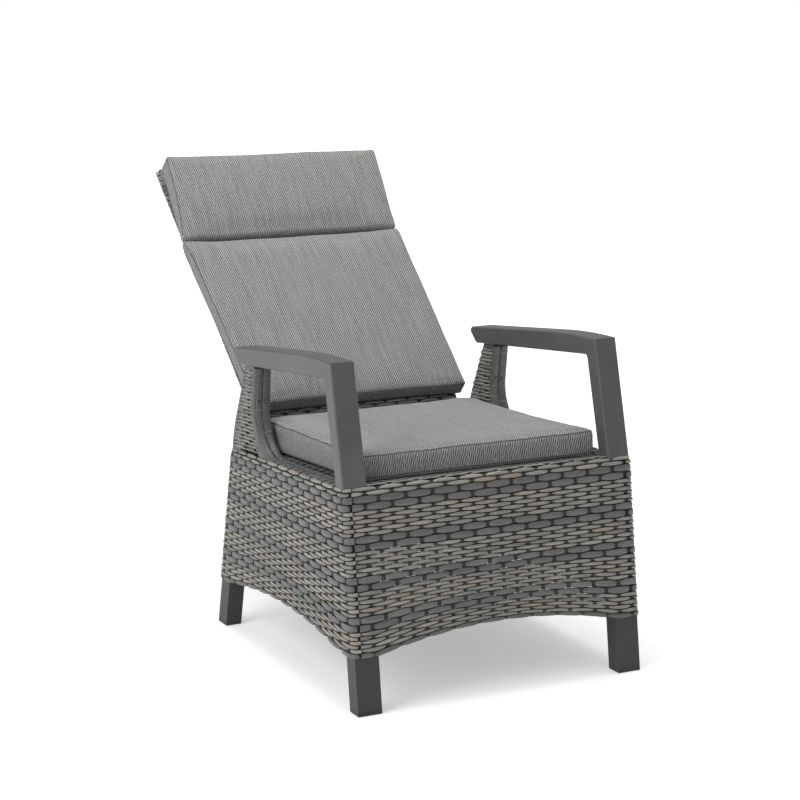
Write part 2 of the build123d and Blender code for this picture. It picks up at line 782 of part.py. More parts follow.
release_lever = across(-lever_width / 2, lever_width, lever_hub, lever_pin_y, lever_pin_rise)
release_lever += Pos(0, lever_pin_y, lever_pin_rise) * Box(
    lever_width, lever_tip, lever_arm, align=(Align.CENTER, Align.CENTER, Align.MIN))
lever_tip_z = lever_pin_rise + lever_arm
release_lever += across(-lever_width / 2, lever_width, lever_tip, lever_pin_y, lever_tip_z)
release_lever -= across(-reach, 2 * reach, lever_pin + 2 * running_gap, lever_pin_y,
                        lever_pin_rise)
release_lever -= across(-reach, 2 * reach, nipple_hole, lever_pin_y, lever_tip_z)

spring_pin_length = head_width + 2 * (side_gap + ear)
front_pin_bar = across(-spring_pin_length / 2, spring_pin_length, spring_pin)
front_pin_bar += across(-spring_pin_length / 2 - spring_pin_head_height,
                        spring_pin_head_height, spring_pin_head)
front_pin_bar += across(spring_pin_length / 2, spring_pin_head_height, spring_pin_head)
front_pin_bar = Pos(0, spring_front_y, spring_front_z) * front_pin_bar


# Bracket under the front seat bar: two ears for the gas spring, and a stop for the cable
def bar_under_z(y):
    return seat_plane(y) - skin - seat_bar_size


def ear_outline():
    front_y, rear_y = seat_bar_front_y, spring_bracket_web_y + ear
    boss = Pos(spring_front_y, spring_front_z) * Circle(ear_reach)
    cheek = make_face(Polyline(
        (front_y, bar_under_z(front_y)), (rear_y, bar_under_z(rear_y)),
        (rear_y, spring_bracket_web_low), (spring_front_y + ear_reach, spring_front_z),
        (spring_front_y - ear_reach, spring_front_z), close=True))
    return (boss + cheek).face()


ear_x = head_width / 2 + side_gap
lever_tip_place = spring_frame.from_local_coords(Vector(0, lever_pin_y, lever_tip_z))
cable_z = lever_tip_place.Z
ferrule_rear_y = spring_bracket_web_y + ear + side_gap
bracket_ear = side_slab(ear_outline(), ear_x, ear_x + ear)
bracket_top = make_face(Polyline(
    (seat_bar_front_y, bar_under_z(seat_bar_front_y)),
    (spring_bracket_web_y + ear, bar_under_z(spring_bracket_web_y + ear)),
    (spring_bracket_web_y + ear, bar_under_z(spring_bracket_web_y + ear) - ear),
    (seat_bar_front_y, bar_under_z(seat_bar_front_y) - ear), close=True))
bracket_web = make_face(Polyline(
    (spring_bracket_web_y, bar_under_z(spring_bracket_web_y) - ear / 2),
    (spring_bracket_web_y + ear, bar_under_z(spring_bracket_web_y) - ear / 2),
    (spring_bracket_web_y + ear, spring_bracket_web_low),
    (spring_bracket_web_y, spring_bracket_web_low), close=True))
spring_bracket = bracket_ear + mirrored(bracket_ear)
spring_bracket += side_slab(bracket_top, -spring_bracket_half, spring_bracket_half)
spring_bracket += side_slab(bracket_web, -ear_x - ear / 2, ear_x + ear / 2)
spring_bracket -= Pos(0, spring_front_y, spring_front_z) * across(-reach, 2 * reach, spring_pin)
spring_bracket -= rod((0, spring_bracket_web_y - ear, cable_z),
                      (0, spring_bracket_web_y + 2 * ear, cable_z), ferrule_diameter)

bracket_bolt_y = seat_bar_front_y + seat_bar_size / 2
bracket_bolt_top = bar_under_z(bracket_bolt_y) + bolt_reach
bracket_bolt_low = bar_under_z(bracket_bolt_y) - ear


def hexagon(z_low, height):
    return Pos(0, 0, z_low) * extrude(
        RegularPolygon(bolt_head / 2, side_count=6, major_radius=False), height, dir=(0, 0, 1))


bracket_bolt_seat = bracket_bolt_low - 2 * side_gap
bracket_bolt = rod((0, 0, bracket_bolt_seat), (0, 0, bracket_bolt_top), bolt_diameter)
bracket_bolt += hexagon(bracket_bolt_seat - bolt_head_height, bolt_head_height)
bracket_bolt = Pos(spring_bracket_bolt_x, bracket_bolt_y, 0) * bracket_bolt
bracket_bolt_hole = rod((spring_bracket_bolt_x, bracket_bolt_y, bracket_bolt_low - overrun),
                        (spring_bracket_bolt_x, bracket_bolt_y, bracket_bolt_top),
                        bolt_diameter + 2 * hole_gap)
bracket_bolt_holes = bracket_bolt_hole + mirrored(bracket_bolt_hole)
spring_bracket -= bracket_bolt_holes

ferrule_front_y = ferrule_rear_y - ferrule_length
cable_gland = rod((0, ferrule_rear_y, cable_z), (0, ferrule_front_y, cable_z), ferrule_diameter)
cable_gland -= rod((0, ferrule_rear_y - ferrule_floor, cable_z),
                   (0, ferrule_front_y, cable_z), ferrule_bore)
cable_gland -= rod((0, ferrule_rear_y, cable_z), (0, ferrule_front_y, cable_z), wire_hole)


# Release button, drawn on the left armrest and mirrored to the right one
arch_radius = arm_run / sin(radians(arm_drop))
button_z = arm_front_z - (button_y - arm_front_y) ** 2 / (2 * arch_radius) - button_drop
arm_inner_x = arm_half_width - arm_width
button_place = Pos(0, button_y, button_z)
housing = across(arm_inner_x, housing_length, housing_diameter)
housing += across(arm_inner_x - bezel_height, bezel_height, bezel_diameter)
housing -= across(arm_inner_x - bezel_height, bezel_height + housing_length - housing_floor,
                  button_diameter + 2 * running_gap)
cable_port_x = arm_inner_x + cable_port_depth
housing -= rod((cable_port_x, 0, 0), (cable_port_x, -housing_diameter, 0), cable_port)
housing = toe_in * button_place * housing
button = across(arm_inner_x - bezel_height - button_stand,
                button_stand + bezel_height + button_inside, button_diameter)
button = toe_in * button_place * button
button_hole = toe_in * button_place * across(arm_inner_x - bezel_height, housing_length,
                                             housing_diameter)


# Bolts that hold the armrests on the legs and on the rear posts, heads inside the tubes
def joint_bolt(place, thickness):
    # Its axis runs up from the clamped faces' meeting place
    shank = rod((0, 0, -plate - side_gap), (0, 0, bolt_reach), bolt_diameter)
    head = hexagon(-plate - side_gap - bolt_head_height, bolt_head_height)
    nut = hexagon(thickness + side_gap, bolt_reach - thickness - side_gap)
    return place * (shank + head + nut)


def bolt_hole(place):
    return place * rod((0, 0, -bolt_reach), (0, 0, bolt_reach), bolt_diameter + 2 * hole_gap)


def under_arm(y):
    share = (y - arm_corner[0]) / (arm_heel[0] - arm_corner[0])
    return arm_corner[1] + share * (arm_heel[1] - arm_corner[1])


under_tilt = degrees(atan2(arm_heel[1] - arm_corner[1], arm_heel[0] - arm_corner[0]))
rear_bolt_y = rear_post_top_y - rear_leg_depth / 2
rear_bolt_x = (post_inner_x + post_outer_x) / 2
post_axis_foot_y = arm_foot_y + arm_post_depth_foot / 2
bolt_places = [Pos(front_leg_x + side * front_bolt_apart / 2, post_axis_foot_y, post_foot_z)
               for side in (-1, 1)]
bolt_places += [Pos(rear_bolt_x, rear_bolt_y, under_arm(rear_bolt_y)) * Rot(under_tilt, 0, 0)]
arm_bolts = [joint_bolt(place, arm_wall) for place in bolt_places]
arm_bolt_holes = [bolt_hole(place) for place in bolt_places]


# Cushions: a boxed outline with a crown, its sides drawn in between the corners
def drawn_in_outline(corners):
    middle = sum((Vector(*corner) for corner in corners), Vector()) / len(corners)
    sides = []
    for start, end in zip(corners, corners[1:] + corners[:1]):
        half_way = (Vector(*start) + Vector(*end)) / 2
        inward = (middle - half_way).normalized() * cushion_drawn_in
        sides.append(ThreePointArc(start, half_way + inward, end))
    outline = face_of(*sides)
    return fillet(outline.vertices(), cushion_corner)


def crowned(cushion, radius, middle_y, top_z):
    # Two crossed barrels round its face over, each way
    barrel = Cylinder(radius, 2 * reach)
    centre = Pos(0, middle_y, top_z - radius)
    return cushion & centre * Rot(90, 0, 0) * barrel & centre * Rot(0, 90, 0) * barrel


seat_cushion_length = seat_cushion_rear_y - seat_cushion_front_y
seat_place = Pos(0, seat_cushion_front_y, seat_plane(seat_cushion_front_y)) * Rot(
    -seat_slope, 0, 0)
seat_corners = [(-seat_cushion_half_width, 0), (seat_cushion_half_width, 0),
                (seat_cushion_half_width, seat_cushion_length),
                (-seat_cushion_half_width, seat_cushion_length)]
seat_cushion = extrude(drawn_in_outline(seat_corners), seat_cushion_height, dir=(0, 0, 1))
seat_cushion = crowned(seat_cushion, seat_cushion_crown, seat_cushion_length / 2,
                       seat_cushion_height)
seat_cushion = seat_place * Pos(0, 0, cushion_gap) * seat_cushion


def back_section(low, high, height):
    def half(along):
        share = (along - back_cushion_low) / (back_cushion_top - back_cushion_low)
        gain = back_cushion_half_width_high - back_cushion_half_width_low
        return back_cushion_half_width_low + share * gain

    corners = [(-half(low), low), (half(low), low), (half(high), high), (-half(high), high)]
    section = extrude(drawn_in_outline(corners), height, dir=(0, 0, 1))
    return crowned(section, back_cushion_crown, (low + high) / 2, height)


back_cushion = back_section(back_cushion_low, back_cushion_fold - fold_width / 2,
                            back_cushion_height)
back_cushion += back_section(back_cushion_fold + fold_width / 2, back_cushion_top,
                             head_height_middle)
tongue_half = back_cushion_half_width_low - cushion_corner
back_cushion += Pos(0, back_cushion_fold, strap_thickness) * Box(
    2 * tongue_half, fold_tongue, fold_thickness, align=(Align.CENTER, Align.CENTER, Align.MIN))
back_cushion -= Pos(0, back_cushion_fold, 0) * Box(
    2 * reach, strap_width + 2 * cushion_gap, 2 * strap_thickness)
back_cushion = Pos(0, 0, back_thickness / 2 + cushion_gap) * back_cushion

# Strap of the back cushion, once round the backrest at the fold
strap_low = back_cushion_fold - strap_width / 2
strap_high = back_cushion_fold + strap_width / 2
back_strap = back_board(strap_low, strap_high, -strap_thickness,
                        back_thickness + 2 * strap_thickness)
back_strap -= back_board(strap_low, strap_high, 0, back_thickness)


# All the pieces
def pair(name, part):
    parts[name + "_left"] = part
    parts[name + "_right"] = mirrored(part)


def together(pieces):
    return Compound([solid for piece in pieces for solid in piece.solids()])


front_leg -= arm_bolt_holes
armrest = arm_shell - arm_bolt_holes
rear_post -= arm_bolt_holes[-1]
pair("front_leg", front_leg)
pair("rear_leg", rear_leg)
pair("front_foot", front_foot)
pair("rear_foot", rear_foot)
pair("armrest", armrest)
pair("rear_post", rear_post)
pair("seat_rail", seat_rail)
pair("side_bow", side_bow)
pair("side_stretcher", side_stretcher)
pair("wicker_side", wicker_side)
pair("hinge_plate", hinge_plate_solid)
pair("back_stile", on_back(stile))

parts["armrest_right"] -= mirrored(button_hole)
parts["front_rail"] = front_rail
parts["rear_rail"] = rear_rail
parts["front_stretcher"] = front_stretcher
parts["rear_stretcher"] = rear_stretcher
parts["seat_bar_front"] = seat_bar(seat_bar_front_y) - bracket_bolt_holes
parts["seat_bar_middle"] = seat_bar(seat_bar_middle_y)
parts["seat_bar_rear"] = seat_bar(seat_bar_rear_y)
parts["wicker_front"] = wicker_front
parts["wicker_rear"] = wicker_rear
parts["wicker_seat"] = wicker_seat
parts["pivot_bolts"] = together([pivot_bolts, mirrored(pivot_bolts)])
both_sides = arm_bolts + [bracket_bolt]
parts["frame_bolts"] = together(both_sides + [mirrored(bolt) for bolt in both_sides])
parts["spring_bracket"] = spring_bracket
parts["spring_pin"] = front_pin_bar
parts["button_housing"] = mirrored(housing)
parts["cable_gland"] = cable_gland
parts["seat_cushion"] = seat_cushion

for name, bar in zip(("lower", "middle", "upper"), back_bars):
    parts["back_bar_" + name] = on_back(bar)
parts["back_top_bar"] = on_back(back_top_bar)
parts["wicker_back"] = on_back(wicker_back)
parts["back_bushes"] = together([on_back(back_bush), on_back(mirrored(back_bush))])
parts["crank_plates"] = together([on_back(crank_plates)])
parts["crank_pin"] = on_back(crank_pin_bar)
parts["back_cushion"] = on_back(back_cushion)
parts["back_strap"] = on_back(back_strap)

parts["gas_cylinder"] = on_spring(gas_cylinder + cylinder_eye)
parts["spring_rod"] = on_spring(spring_rod)
parts["release_head"] = on_spring(release_head)
parts["lever_pin"] = on_spring(lever_pin_bar)
parts["release_lever"] = on_spring(release_lever)
parts["release_button"] = mirrored(button)

whole = together(parts.values()).bounding_box()
shift = -(whole.min.Y + whole.max.Y) / 2
print("shift", round(shift, 4), "size", whole.size)
os.makedirs("parts", exist_ok=True)
for name, part in parts.items():
    export_step(Pos(0, shift, -whole.min.Z) * part, "parts/" + name + ".step")

print("recline axis", pivot_y + shift, pivot_z, "front pin", spring_front_y + shift, spring_front_z)
print("rest length", rest_length, "tilt", rest_tilt)
for turn in (-recline_back, 0, recline_forward / 3, 2 * recline_forward / 3, recline_forward):
    length, tilt = spring_line(turn)
    print("turn", turn, "slide", round(length - rest_length, 3), "tilt", round(tilt - rest_tilt, 3))
for name, place in (("lever", spring_frame.from_local_coords(
        Vector(0, lever_pin_y, lever_pin_rise))), ("button", button_place.position)):
    print(name, place.X, place.Y + shift, place.Z)
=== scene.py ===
import bpy
import bmesh
import json
import math
import random
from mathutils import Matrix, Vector, kdtree, noise


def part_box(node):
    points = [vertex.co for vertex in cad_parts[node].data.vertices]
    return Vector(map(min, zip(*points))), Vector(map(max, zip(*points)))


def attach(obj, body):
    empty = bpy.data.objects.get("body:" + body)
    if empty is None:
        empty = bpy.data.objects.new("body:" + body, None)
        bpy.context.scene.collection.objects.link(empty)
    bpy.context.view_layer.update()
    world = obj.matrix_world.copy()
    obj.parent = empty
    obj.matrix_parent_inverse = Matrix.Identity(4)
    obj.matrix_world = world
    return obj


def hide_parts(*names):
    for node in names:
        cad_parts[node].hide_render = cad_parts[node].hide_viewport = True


# Woven garden recliner: weave, cushions, finishes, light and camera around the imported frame.
# Lengths in the dictionaries are millimetres; mesh data is in metres.

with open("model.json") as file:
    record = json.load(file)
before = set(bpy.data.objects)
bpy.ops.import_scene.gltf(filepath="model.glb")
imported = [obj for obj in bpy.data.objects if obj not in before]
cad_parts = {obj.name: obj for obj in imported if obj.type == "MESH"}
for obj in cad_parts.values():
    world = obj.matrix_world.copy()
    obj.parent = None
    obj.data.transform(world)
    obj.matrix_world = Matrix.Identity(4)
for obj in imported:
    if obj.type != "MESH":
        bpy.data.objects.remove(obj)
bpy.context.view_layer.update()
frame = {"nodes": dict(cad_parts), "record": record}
random.seed(11)
mm = 0.001


def slope(degrees):
    return math.tan(math.radians(degrees))


def mix(a, b, share):
    return a + (b - a) * share


def rgb(hexCode):
    # sRGB hex to the linear values that shaders take
    parts = [int(hexCode[i:i + 2], 16) / 255 for i in (1, 3, 5)]
    return tuple(c / 12.92 if c <= 0.04045 else ((c + 0.055) / 1.055) ** 2.4 for c in parts) + (1,)


def mixHex(a, b, share):
    values = [round(mix(int(a[i:i + 2], 16), int(b[i:i + 2], 16), share)) for i in (1, 3, 5)]
    return "#%02x%02x%02x" % tuple(values)


def setNode(owner, node, settings=None, links=None):
    # settings go to a ramp's stops, node properties or sockets by name or number, and a link
    # comes from a socket or from a node's first one
    for key, value in (settings or {}).items():
        if key == "stops":
            band = node.color_ramp.elements
            for extra in value[2:]:
                band.new(0.5)
            for stop, (position, colour) in zip(band, value):
                stop.position, stop.color = position, rgb(colour)
        elif isinstance(key, int) or key in node.inputs:
            node.inputs[key].default_value = value
        else:
            setattr(node, key, value)
    for key, source in (links or {}).items():
        socket = source if isinstance(source, bpy.types.NodeSocket) else source.outputs[0]
        owner.node_tree.links.new(socket, node.inputs[key])
    return node


def addNode(owner, kind, settings=None, links=None):
    return setNode(owner, owner.node_tree.nodes.new("ShaderNode" + kind), settings, links)


def newMaterial(name):
    material = bpy.data.materials.new(name)
    material.use_nodes = True
    return material


def setShader(material, settings, links):
    setNode(material, material.node_tree.nodes["Principled BSDF"], settings, links)


def mottled(name, scale, detail, stops, settings, stretch=(1, 1, 1)):
    # ground of the plain finishes: the colour wanders between its stops over the piece
    material = newMaterial(name)
    spot = addNode(material, "TexCoord").outputs["Object"]
    drawn = addNode(material, "Mapping", {"Scale": stretch}, {"Vector": spot})
    cloud = addNode(material, "TexNoise", {"Scale": scale, "Detail": detail}, {"Vector": drawn})
    tint = addNode(material, "ValToRGB", {"stops": stops}, {"Fac": cloud})
    setShader(material, settings, {"Base Color": tint})
    return material, spot, cloud


def coatedMetal(name, colour, dusty, roughness, grain):
    # Powder coat over metal: a fine orange peel breaks the gloss, and dust lightens it in places
    material, spot = mottled(name, 9, 4, [(0.35, colour), (0.7, dusty)],
                             {"Specular IOR Level": 0.45})[:2]
    peel = addNode(material, "TexNoise", {"Scale": 1 / (grain * mm), "Detail": 2}, {"Vector": spot})
    rough = addNode(material, "MapRange",
                    {"To Min": roughness - 0.05, "To Max": roughness + 0.08}, {"Value": peel})
    bump = addNode(material, "Bump", {"Strength": 0.25, "Distance": 0.1 * mm}, {"Height": peel})
    setShader(material, {}, {"Roughness": rough, "Normal": bump})
    return material


def bareMetal(name, colour, worn, roughness, streak):
    # Turned or drawn metal: streaks run along the bar, with a little tarnish
    material, spot, lines = mottled(name, 1 / (streak * mm), 3, [(0.3, worn), (0.65, colour)],
                                    {"Metallic": 1}, stretch=(1, 0.05, 1))
    rough = addNode(material, "MapRange",
                    {"To Min": roughness - 0.06, "To Max": roughness + 0.12}, {"Value": lines})
    setShader(material, {}, {"Roughness": rough})
    return material


def mouldedPlastic(name, colour, scuffed, roughness):
    # Injection moulded: spark-eroded grain of 0.6 mm, lighter where it is scuffed
    material, spot = mottled(name, 60, 6, [(0.45, colour), (0.75, scuffed)],
                             {"Roughness": roughness})[:2]
    grain = addNode(material, "TexVoronoi", {"Scale": 1 / (0.6 * mm)}, {"Vector": spot})
    bump = addNode(material, "Bump", {"Strength": 0.2, "Distance": 0.05 * mm}, {"Height": grain})
    setShader(material, {}, {"Normal": bump})
    return material


def stakeCord(name):
    # Round extruded stake, near black, that the strands are woven over; the same near black also
    # colours the dark backing behind the rows, where it is painted shade
    return mottled(name, 120, 3, [(0.3, "#1f1e1c"), (0.7, "#33312d")], {"Roughness": 0.5})[0]


def boundSeam(name):
    # Bound edge, a folded strip of the cushion's own twill: darker in the fold and at the stitches
    return mottled(name, 700, 2, [(0.35, "#3c3c3f"), (0.65, "#626262")], {"Roughness": 0.95})[0]


strandLayers = ("tone", "wide", "along", "across")


def wovenStrand(name):
    # Extruded polyethylene strand: satin, drawn lengthwise in streaks, narrow strands
    # in warm weathered greys and wide ones in cool slate
    material = newMaterial(name)
    tone, wide, along, across = [
        addNode(material, "Attribute", {"attribute_name": layer}).outputs["Fac"]
        for layer in strandLayers]
    narrowStops = [(0, "#83827b"), (0.3, "#a09f97"), (0.55, "#94918a"), (0.78, "#aeaca2"),
                   (0.94, "#a69687"), (1, "#989894")]
    wideStops = [(0, "#656664"), (0.4, "#737472"), (0.7, "#6b6c6a"), (1, "#7d7d79")]
    narrowTint = addNode(material, "ValToRGB", {"stops": narrowStops}, {"Fac": tone})
    wideTint = addNode(material, "ValToRGB", {"stops": wideStops}, {"Fac": tone})
    tint = addNode(material, "Mix", {"data_type": "RGBA"},
                   {"Factor": wide, 6: narrowTint, 7: wideTint}).outputs[2]
    spot = addNode(material, "CombineXYZ", {}, {"X": along, "Y": across, "Z": tone})
    drawn = addNode(material, "Mapping", {"Scale": (25, 2.6, 90)}, {"Vector": spot})
    streak = addNode(material, "TexNoise", {"Scale": 1, "Detail": 4, "Roughness": 0.65},
                     {"Vector": drawn})
    shade = addNode(material, "ValToRGB",
                    {"stops": [(0.25, "#a8a8a8"), (0.5, "#e6e6e6"), (0.72, "#ffffff")]},
                    {"Fac": streak})
    colour = addNode(material, "Mix", {"data_type": "RGBA", "blend_type": "MULTIPLY", "Factor": 1},
                     {6: tint, 7: shade}).outputs[2]
    bump = addNode(material, "Bump", {"Strength": 0.5, "Distance": 0.25 * mm}, {"Height": streak})
    setShader(material, {"Roughness": 0.42}, {"Base Color": colour, "Normal": bump})
    return material


def twillCloth(name, light, dark):
    # Outdoor olefin twill, piece dyed: slanting ribs crossed by the warp give the eye a fine dotted
    # grain, and uneven yarns give faint streaks up the cloth. Ribs are 4.3 mm apart, about three
    # times the real thread, because anything finer is lost at this size.
    material = newMaterial(name)
    cloth = addNode(material, "UVMap", {"uv_map": "cloth"})
    drift = addNode(material, "TexNoise", {"Scale": 110, "Detail": 2}, {"Vector": cloth})
    waves = []
    for acrossPitch, upPitch in ((-5.55, 6.65), (4.45, 84)):
        turns = Vector((1 / (acrossPitch * mm), 1 / (upPitch * mm), 0)) * 2 * math.pi
        phase = addNode(material, "VectorMath", {"operation": "DOT_PRODUCT", 1: turns},
                        {0: cloth}).outputs["Value"]
        bent = addNode(material, "Math", {"operation": "MULTIPLY_ADD", 1: 2.6},
                       {0: drift, 2: phase})
        waves.append(addNode(material, "Math", {"operation": "SINE"}, {0: bent}))
    crossed = addNode(material, "Math", {"operation": "MULTIPLY_ADD", 1: 0.9},
                      {0: waves[1], 2: waves[0]})
    ribs = addNode(material, "Math", {"operation": "MULTIPLY_ADD", 1: 0.2, 2: 0.57}, {0: crossed})
    speck = addNode(material, "TexNoise", {"Scale": 260, "Detail": 3, "Roughness": 0.7},
                    {"Vector": cloth})
    tall = addNode(material, "Mapping", {"Scale": (105, 9, 1)}, {"Vector": cloth})
    streak = addNode(material, "TexNoise", {"Scale": 1, "Detail": 2}, {"Vector": tall})
    uneven = addNode(material, "Math", {"operation": "MULTIPLY_ADD", 1: 0.45},
                     {0: streak, 2: speck})
    yarn = addNode(material, "Math", {"operation": "MULTIPLY_ADD", 1: 0.5}, {0: uneven, 2: ribs})
    tint = addNode(material, "ValToRGB",
                   {"stops": [(0.5, dark), (0.92, mixHex(dark, light, 0.6)), (1.0, light)]},
                   {"Fac": yarn})
    bump = addNode(material, "Bump", {"Strength": 0.45, "Distance": 0.5 * mm}, {"Height": yarn})
    setShader(material, {"Roughness": 0.95, "Specular IOR Level": 0.2, "Sheen Weight": 0.25,
                         "Sheen Roughness": 0.5}, {"Base Color": tint, "Normal": bump})
    return material


finishes = {
    "frame_paint": coatedMetal("anthracitePowderCoat", "#4f5051", "#58595a", 0.42, 0.7),
    "spring_paint": coatedMetal("blackStoveEnamel", "#1d1e20", "#26272a", 0.35, 0.6),
    "steel": bareMetal("zincPlatedSteel", "#b9bcc0", "#8f9397", 0.38, 0.4),
    "rod_chrome": bareMetal("hardChrome", "#d6d8db", "#c2c5c9", 0.16, 0.3),
    "head_aluminium": bareMetal("castAluminium", "#a9abad", "#8a8c8f", 0.5, 0.8),
    "foot_plastic": mouldedPlastic("footPolypropylene", "#26272a", "#35363a", 0.55),
    "black_plastic": mouldedPlastic("buttonNylon", "#202124", "#2d2e31", 0.4),
}
strandFinish = wovenStrand("polyethyleneWicker")
# the stakes' near black, also used for the painted shade of the backing behind the rows
stakeAndShadeFinish = stakeCord("wickerStakeAndShadeBacking")
# painted shade: the legs take a darker copy of the frame's powder coat, for the weaker light low down
# by the floor
shadedLegFinish = coatedMetal("anthracitePowderCoatLegsPaintedShade", "#303133", "#38393b", 0.45, 0.7)
cushionFinish = twillCloth("greyOlefinTwill", "#a6a6a4", "#2b2b2d")
strapFinish = twillCloth("strapOlefin", "#9a9a98", "#4a4a4d")
seamFinish = boundSeam("seamBinding")

for part in frame["record"]["subparts"]:
    node = frame["nodes"][part["node"]]
    # the legs get the darker copy of the frame paint, which is painted shade
    finish = shadedLegFinish if "leg" in part["node"] else finishes.get(part["material_slot"])
    if finish:
        node.data.materials.clear()
        node.data.materials.append(finish)
print("finishes on", len(frame["nodes"]), "nodes")


def newObject(name, data):
    made = bpy.data.objects.new(name, data)
    bpy.context.scene.collection.objects.link(made)
    return made


def newPiece(name, bm):
    mesh = bpy.data.meshes.new(name)
    bm.to_mesh(mesh)
    bm.free()
    return newObject(name, mesh)


def applyModifiers(piece):
    graph = bpy.context.evaluated_depsgraph_get()
    done = bpy.data.meshes.new_from_object(piece.evaluated_get(graph))
    piece.modifiers.clear()
    piece.data = done


def runLengths(points):
    # how far along a polyline each of its points lies
    marks = [0]
    for one, two in zip(points, points[1:]):
        marks.append(marks[-1] + (two - one).length)
    return marks


def pointAlong(points, marks, u):
    i = next((k for k in range(len(marks) - 2) if u <= marks[k + 1]), len(marks) - 2)
    return points[i].lerp(points[i + 1], (u - marks[i]) / (marks[i + 1] - marks[i]))


def roundedPath(raw, u, reach):
    # the place on a path whose corners are rounded over that reach, and the way it runs on
    here = sum((raw(u + reach * k / 2) for k in (-2, -1, 0, 1, 2)), Vector()) / 5
    return here, raw(u + reach) - raw(u - reach)


def roundedOutline(half, end, cornerHigh, cornerLow, steps):
    # points round a rectangle, the corners at its high end first
    points = []
    for side, way, first in ((1, 1, 0), (-1, 1, 90), (-1, -1, 180), (1, -1, 270)):
        corner = cornerHigh if way > 0 else cornerLow
        for k in range(steps + 1):
            angle = math.radians(first + 90 / steps * k)
            points.append((side * (half - corner) + corner * math.cos(angle),
                           way * (end - corner) + corner * math.sin(angle)))
    return points


chair = {
    "halfWidth": 318, "frontY": -382, "frontLean": 7.8, "rearY": 319, "rearLean": 7.6,
    "rearHalf": 317.6, "rearSplay": 2.5, "rearLegTop": 385,
    "legWidth": 51, "legDepth": 37, "rearLegWidth": 35.3, "rearLegDepth": 42,
    "postY": 187, "postZ": 590, "postLean": 25.2, "postBend": 30,
    "taperStart": -285.8, "taperEnd": 171,         # where the sides start and stop drawing in
    "seatTop": 436, "seatSlope": 3.8, "rearRim": 392, "skin": 4, "skinOut": 2.2,
    "bottomFront": 112, "bottomRear": 102, "archRise": 33, "sideRise": 29,
    "pivotY": 228, "pivotZ": 407, "recline": 47.4, "cushionFront": -283,
}
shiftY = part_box("front_foot_left")[0].y - chair["frontY"] * mm


def place(x, y, z):
    # from the drawing's millimetres to the row frame
    return Vector((x * mm, y * mm + shiftY, z * mm))


def frontFace(z):
    return chair["frontY"] + z * slope(chair["frontLean"])


def rearFace(z):
    # leg below, and the post that leans forward above, with a long bend between them
    leg = chair["rearY"] - z * slope(chair["rearLean"])
    post = chair["postY"] + (chair["postZ"] - z) * slope(chair["postLean"])
    near = max(1 - abs((leg - post) / chair["postBend"]), 0)
    return min(leg, post) - chair["postBend"] * near ** 2 / 4


def skinSide(y, z):
    # outer face of the weave at the side
    rearX = chair["rearHalf"] - min(z, chair["rearLegTop"]) * slope(chair["rearSplay"])
    share = (y - chair["taperStart"]) / (chair["taperEnd"] - chair["taperStart"])
    return mix(chair["halfWidth"], rearX, min(max(share, 0), 1)) + chair["skinOut"]


frontTopY = frontFace(chair["seatTop"]) - chair["skin"]


def seatPlane(y):
    return chair["seatTop"] - (y - frontTopY) * slope(chair["seatSlope"])


# cross-sections of a strand, in shares of its half width and half thickness
halfRound = [(-1, 0), (-0.66, 0.72), (0, 1), (0.66, 0.72), (1, 0), (0, -0.5)]
flatStrip = [(-1, 0), (-0.8, 0.8), (0, 1), (0.8, 0.8), (1, 0), (0, -0.5)]
roundCord = [(-1, 0), (-0.5, 0.87), (0.5, 0.87), (1, 0), (0.5, -0.87), (-0.5, -0.87)]
narrowStrand = {"pitch": 7.95, "gap": 0.3, "thick": 1.4, "section": halfRound,
                "spread": (0.5, 0.6, 0.78, 0.95, 1.0)}
wideStrand = {"pitch": 14.3, "gap": 0.5, "thick": 1.2, "section": flatStrip,
              "spread": (0.7, 0.78, 0.9, 0.98, 1.0)}
weave = {
    "spacing": 29,                                 # between stakes
    "steps": (0.10, 0.18, 0.32, 0.60), "heights": (-1.5, 0.3, 1.6, 2.4, 2.8), "under": -1.9,
    "toneSpread": 0.3, "jitter": 0.25,             # between stitches of one row
    "shadeBackingDepth": 3.6, "shadeBackingThick": 0.5,        # a dark layer behind the stakes, painted shade for the weave's shaded inside
    "shadeBackingShare": 0.96,                           # of each row that it fills, for a little light
    "stake": 2.6, "stakeApart": 2.1, "stakeOut": 0.2,
    "pattern": "nnwwnnnnnnwwnnnnnnwwnnnnnnwwnnnnnb",    # narrow, wide and border, from the top
    "borderPitch": 10.7, "borderLift": 0.6,
    "topRoll": 10,                                 # radius over the top edge
    "firstRow": -10,                               # where the rows start, up over the edge
    "corner": 8,                                   # corners are rounded over this far each way
    "frontPast": 20, "rearPast": 45,               # where panels meet: before and past the corners
    "margin": 40,                                  # stakes this far past a panel's end still count
    "bandStart": 110, "bandPower": 1.6,            # depth from which rows close up over the arch
    "deckEdge": ((4, narrowStrand), (12, narrowStrand), (23.1, wideStrand), (37.4, wideStrand)),
}


def newStrands():
    bm = bmesh.new()
    for layer in strandLayers:
        bm.verts.layers.float.new(layer)
    return bm


def addStrand(bm, stations, section, isWide, materialIndex=0):
    # stations are (point, across, normal, half width, half thickness, tone), all in metres
    if len(stations) < 2:
        return
    layers = [bm.verts.layers.float[layer] for layer in strandLayers]
    count, rounds = len(stations), len(section)
    made = bmesh.ops.create_grid(bm, x_segments=count - 1, y_segments=rounds, size=0.5)
    run = runLengths([station[0] for station in stations])
    for vert in made["verts"]:
        i = round((vert.co.x + 0.5) * (count - 1))
        k = round((vert.co.y + 0.5) * rounds) % rounds
        point, side, normal, half, thick, tone = stations[i]
        vert.co = point + side * (section[k][0] * half) + normal * (section[k][1] * thick)
        for layer, value in zip(layers, (tone, isWide, run[i] + tone, section[k][0])):
            vert[layer] = value
    if materialIndex:
        for face in {f for v in made["verts"] for f in v.link_faces}:
            face.material_index = materialIndex


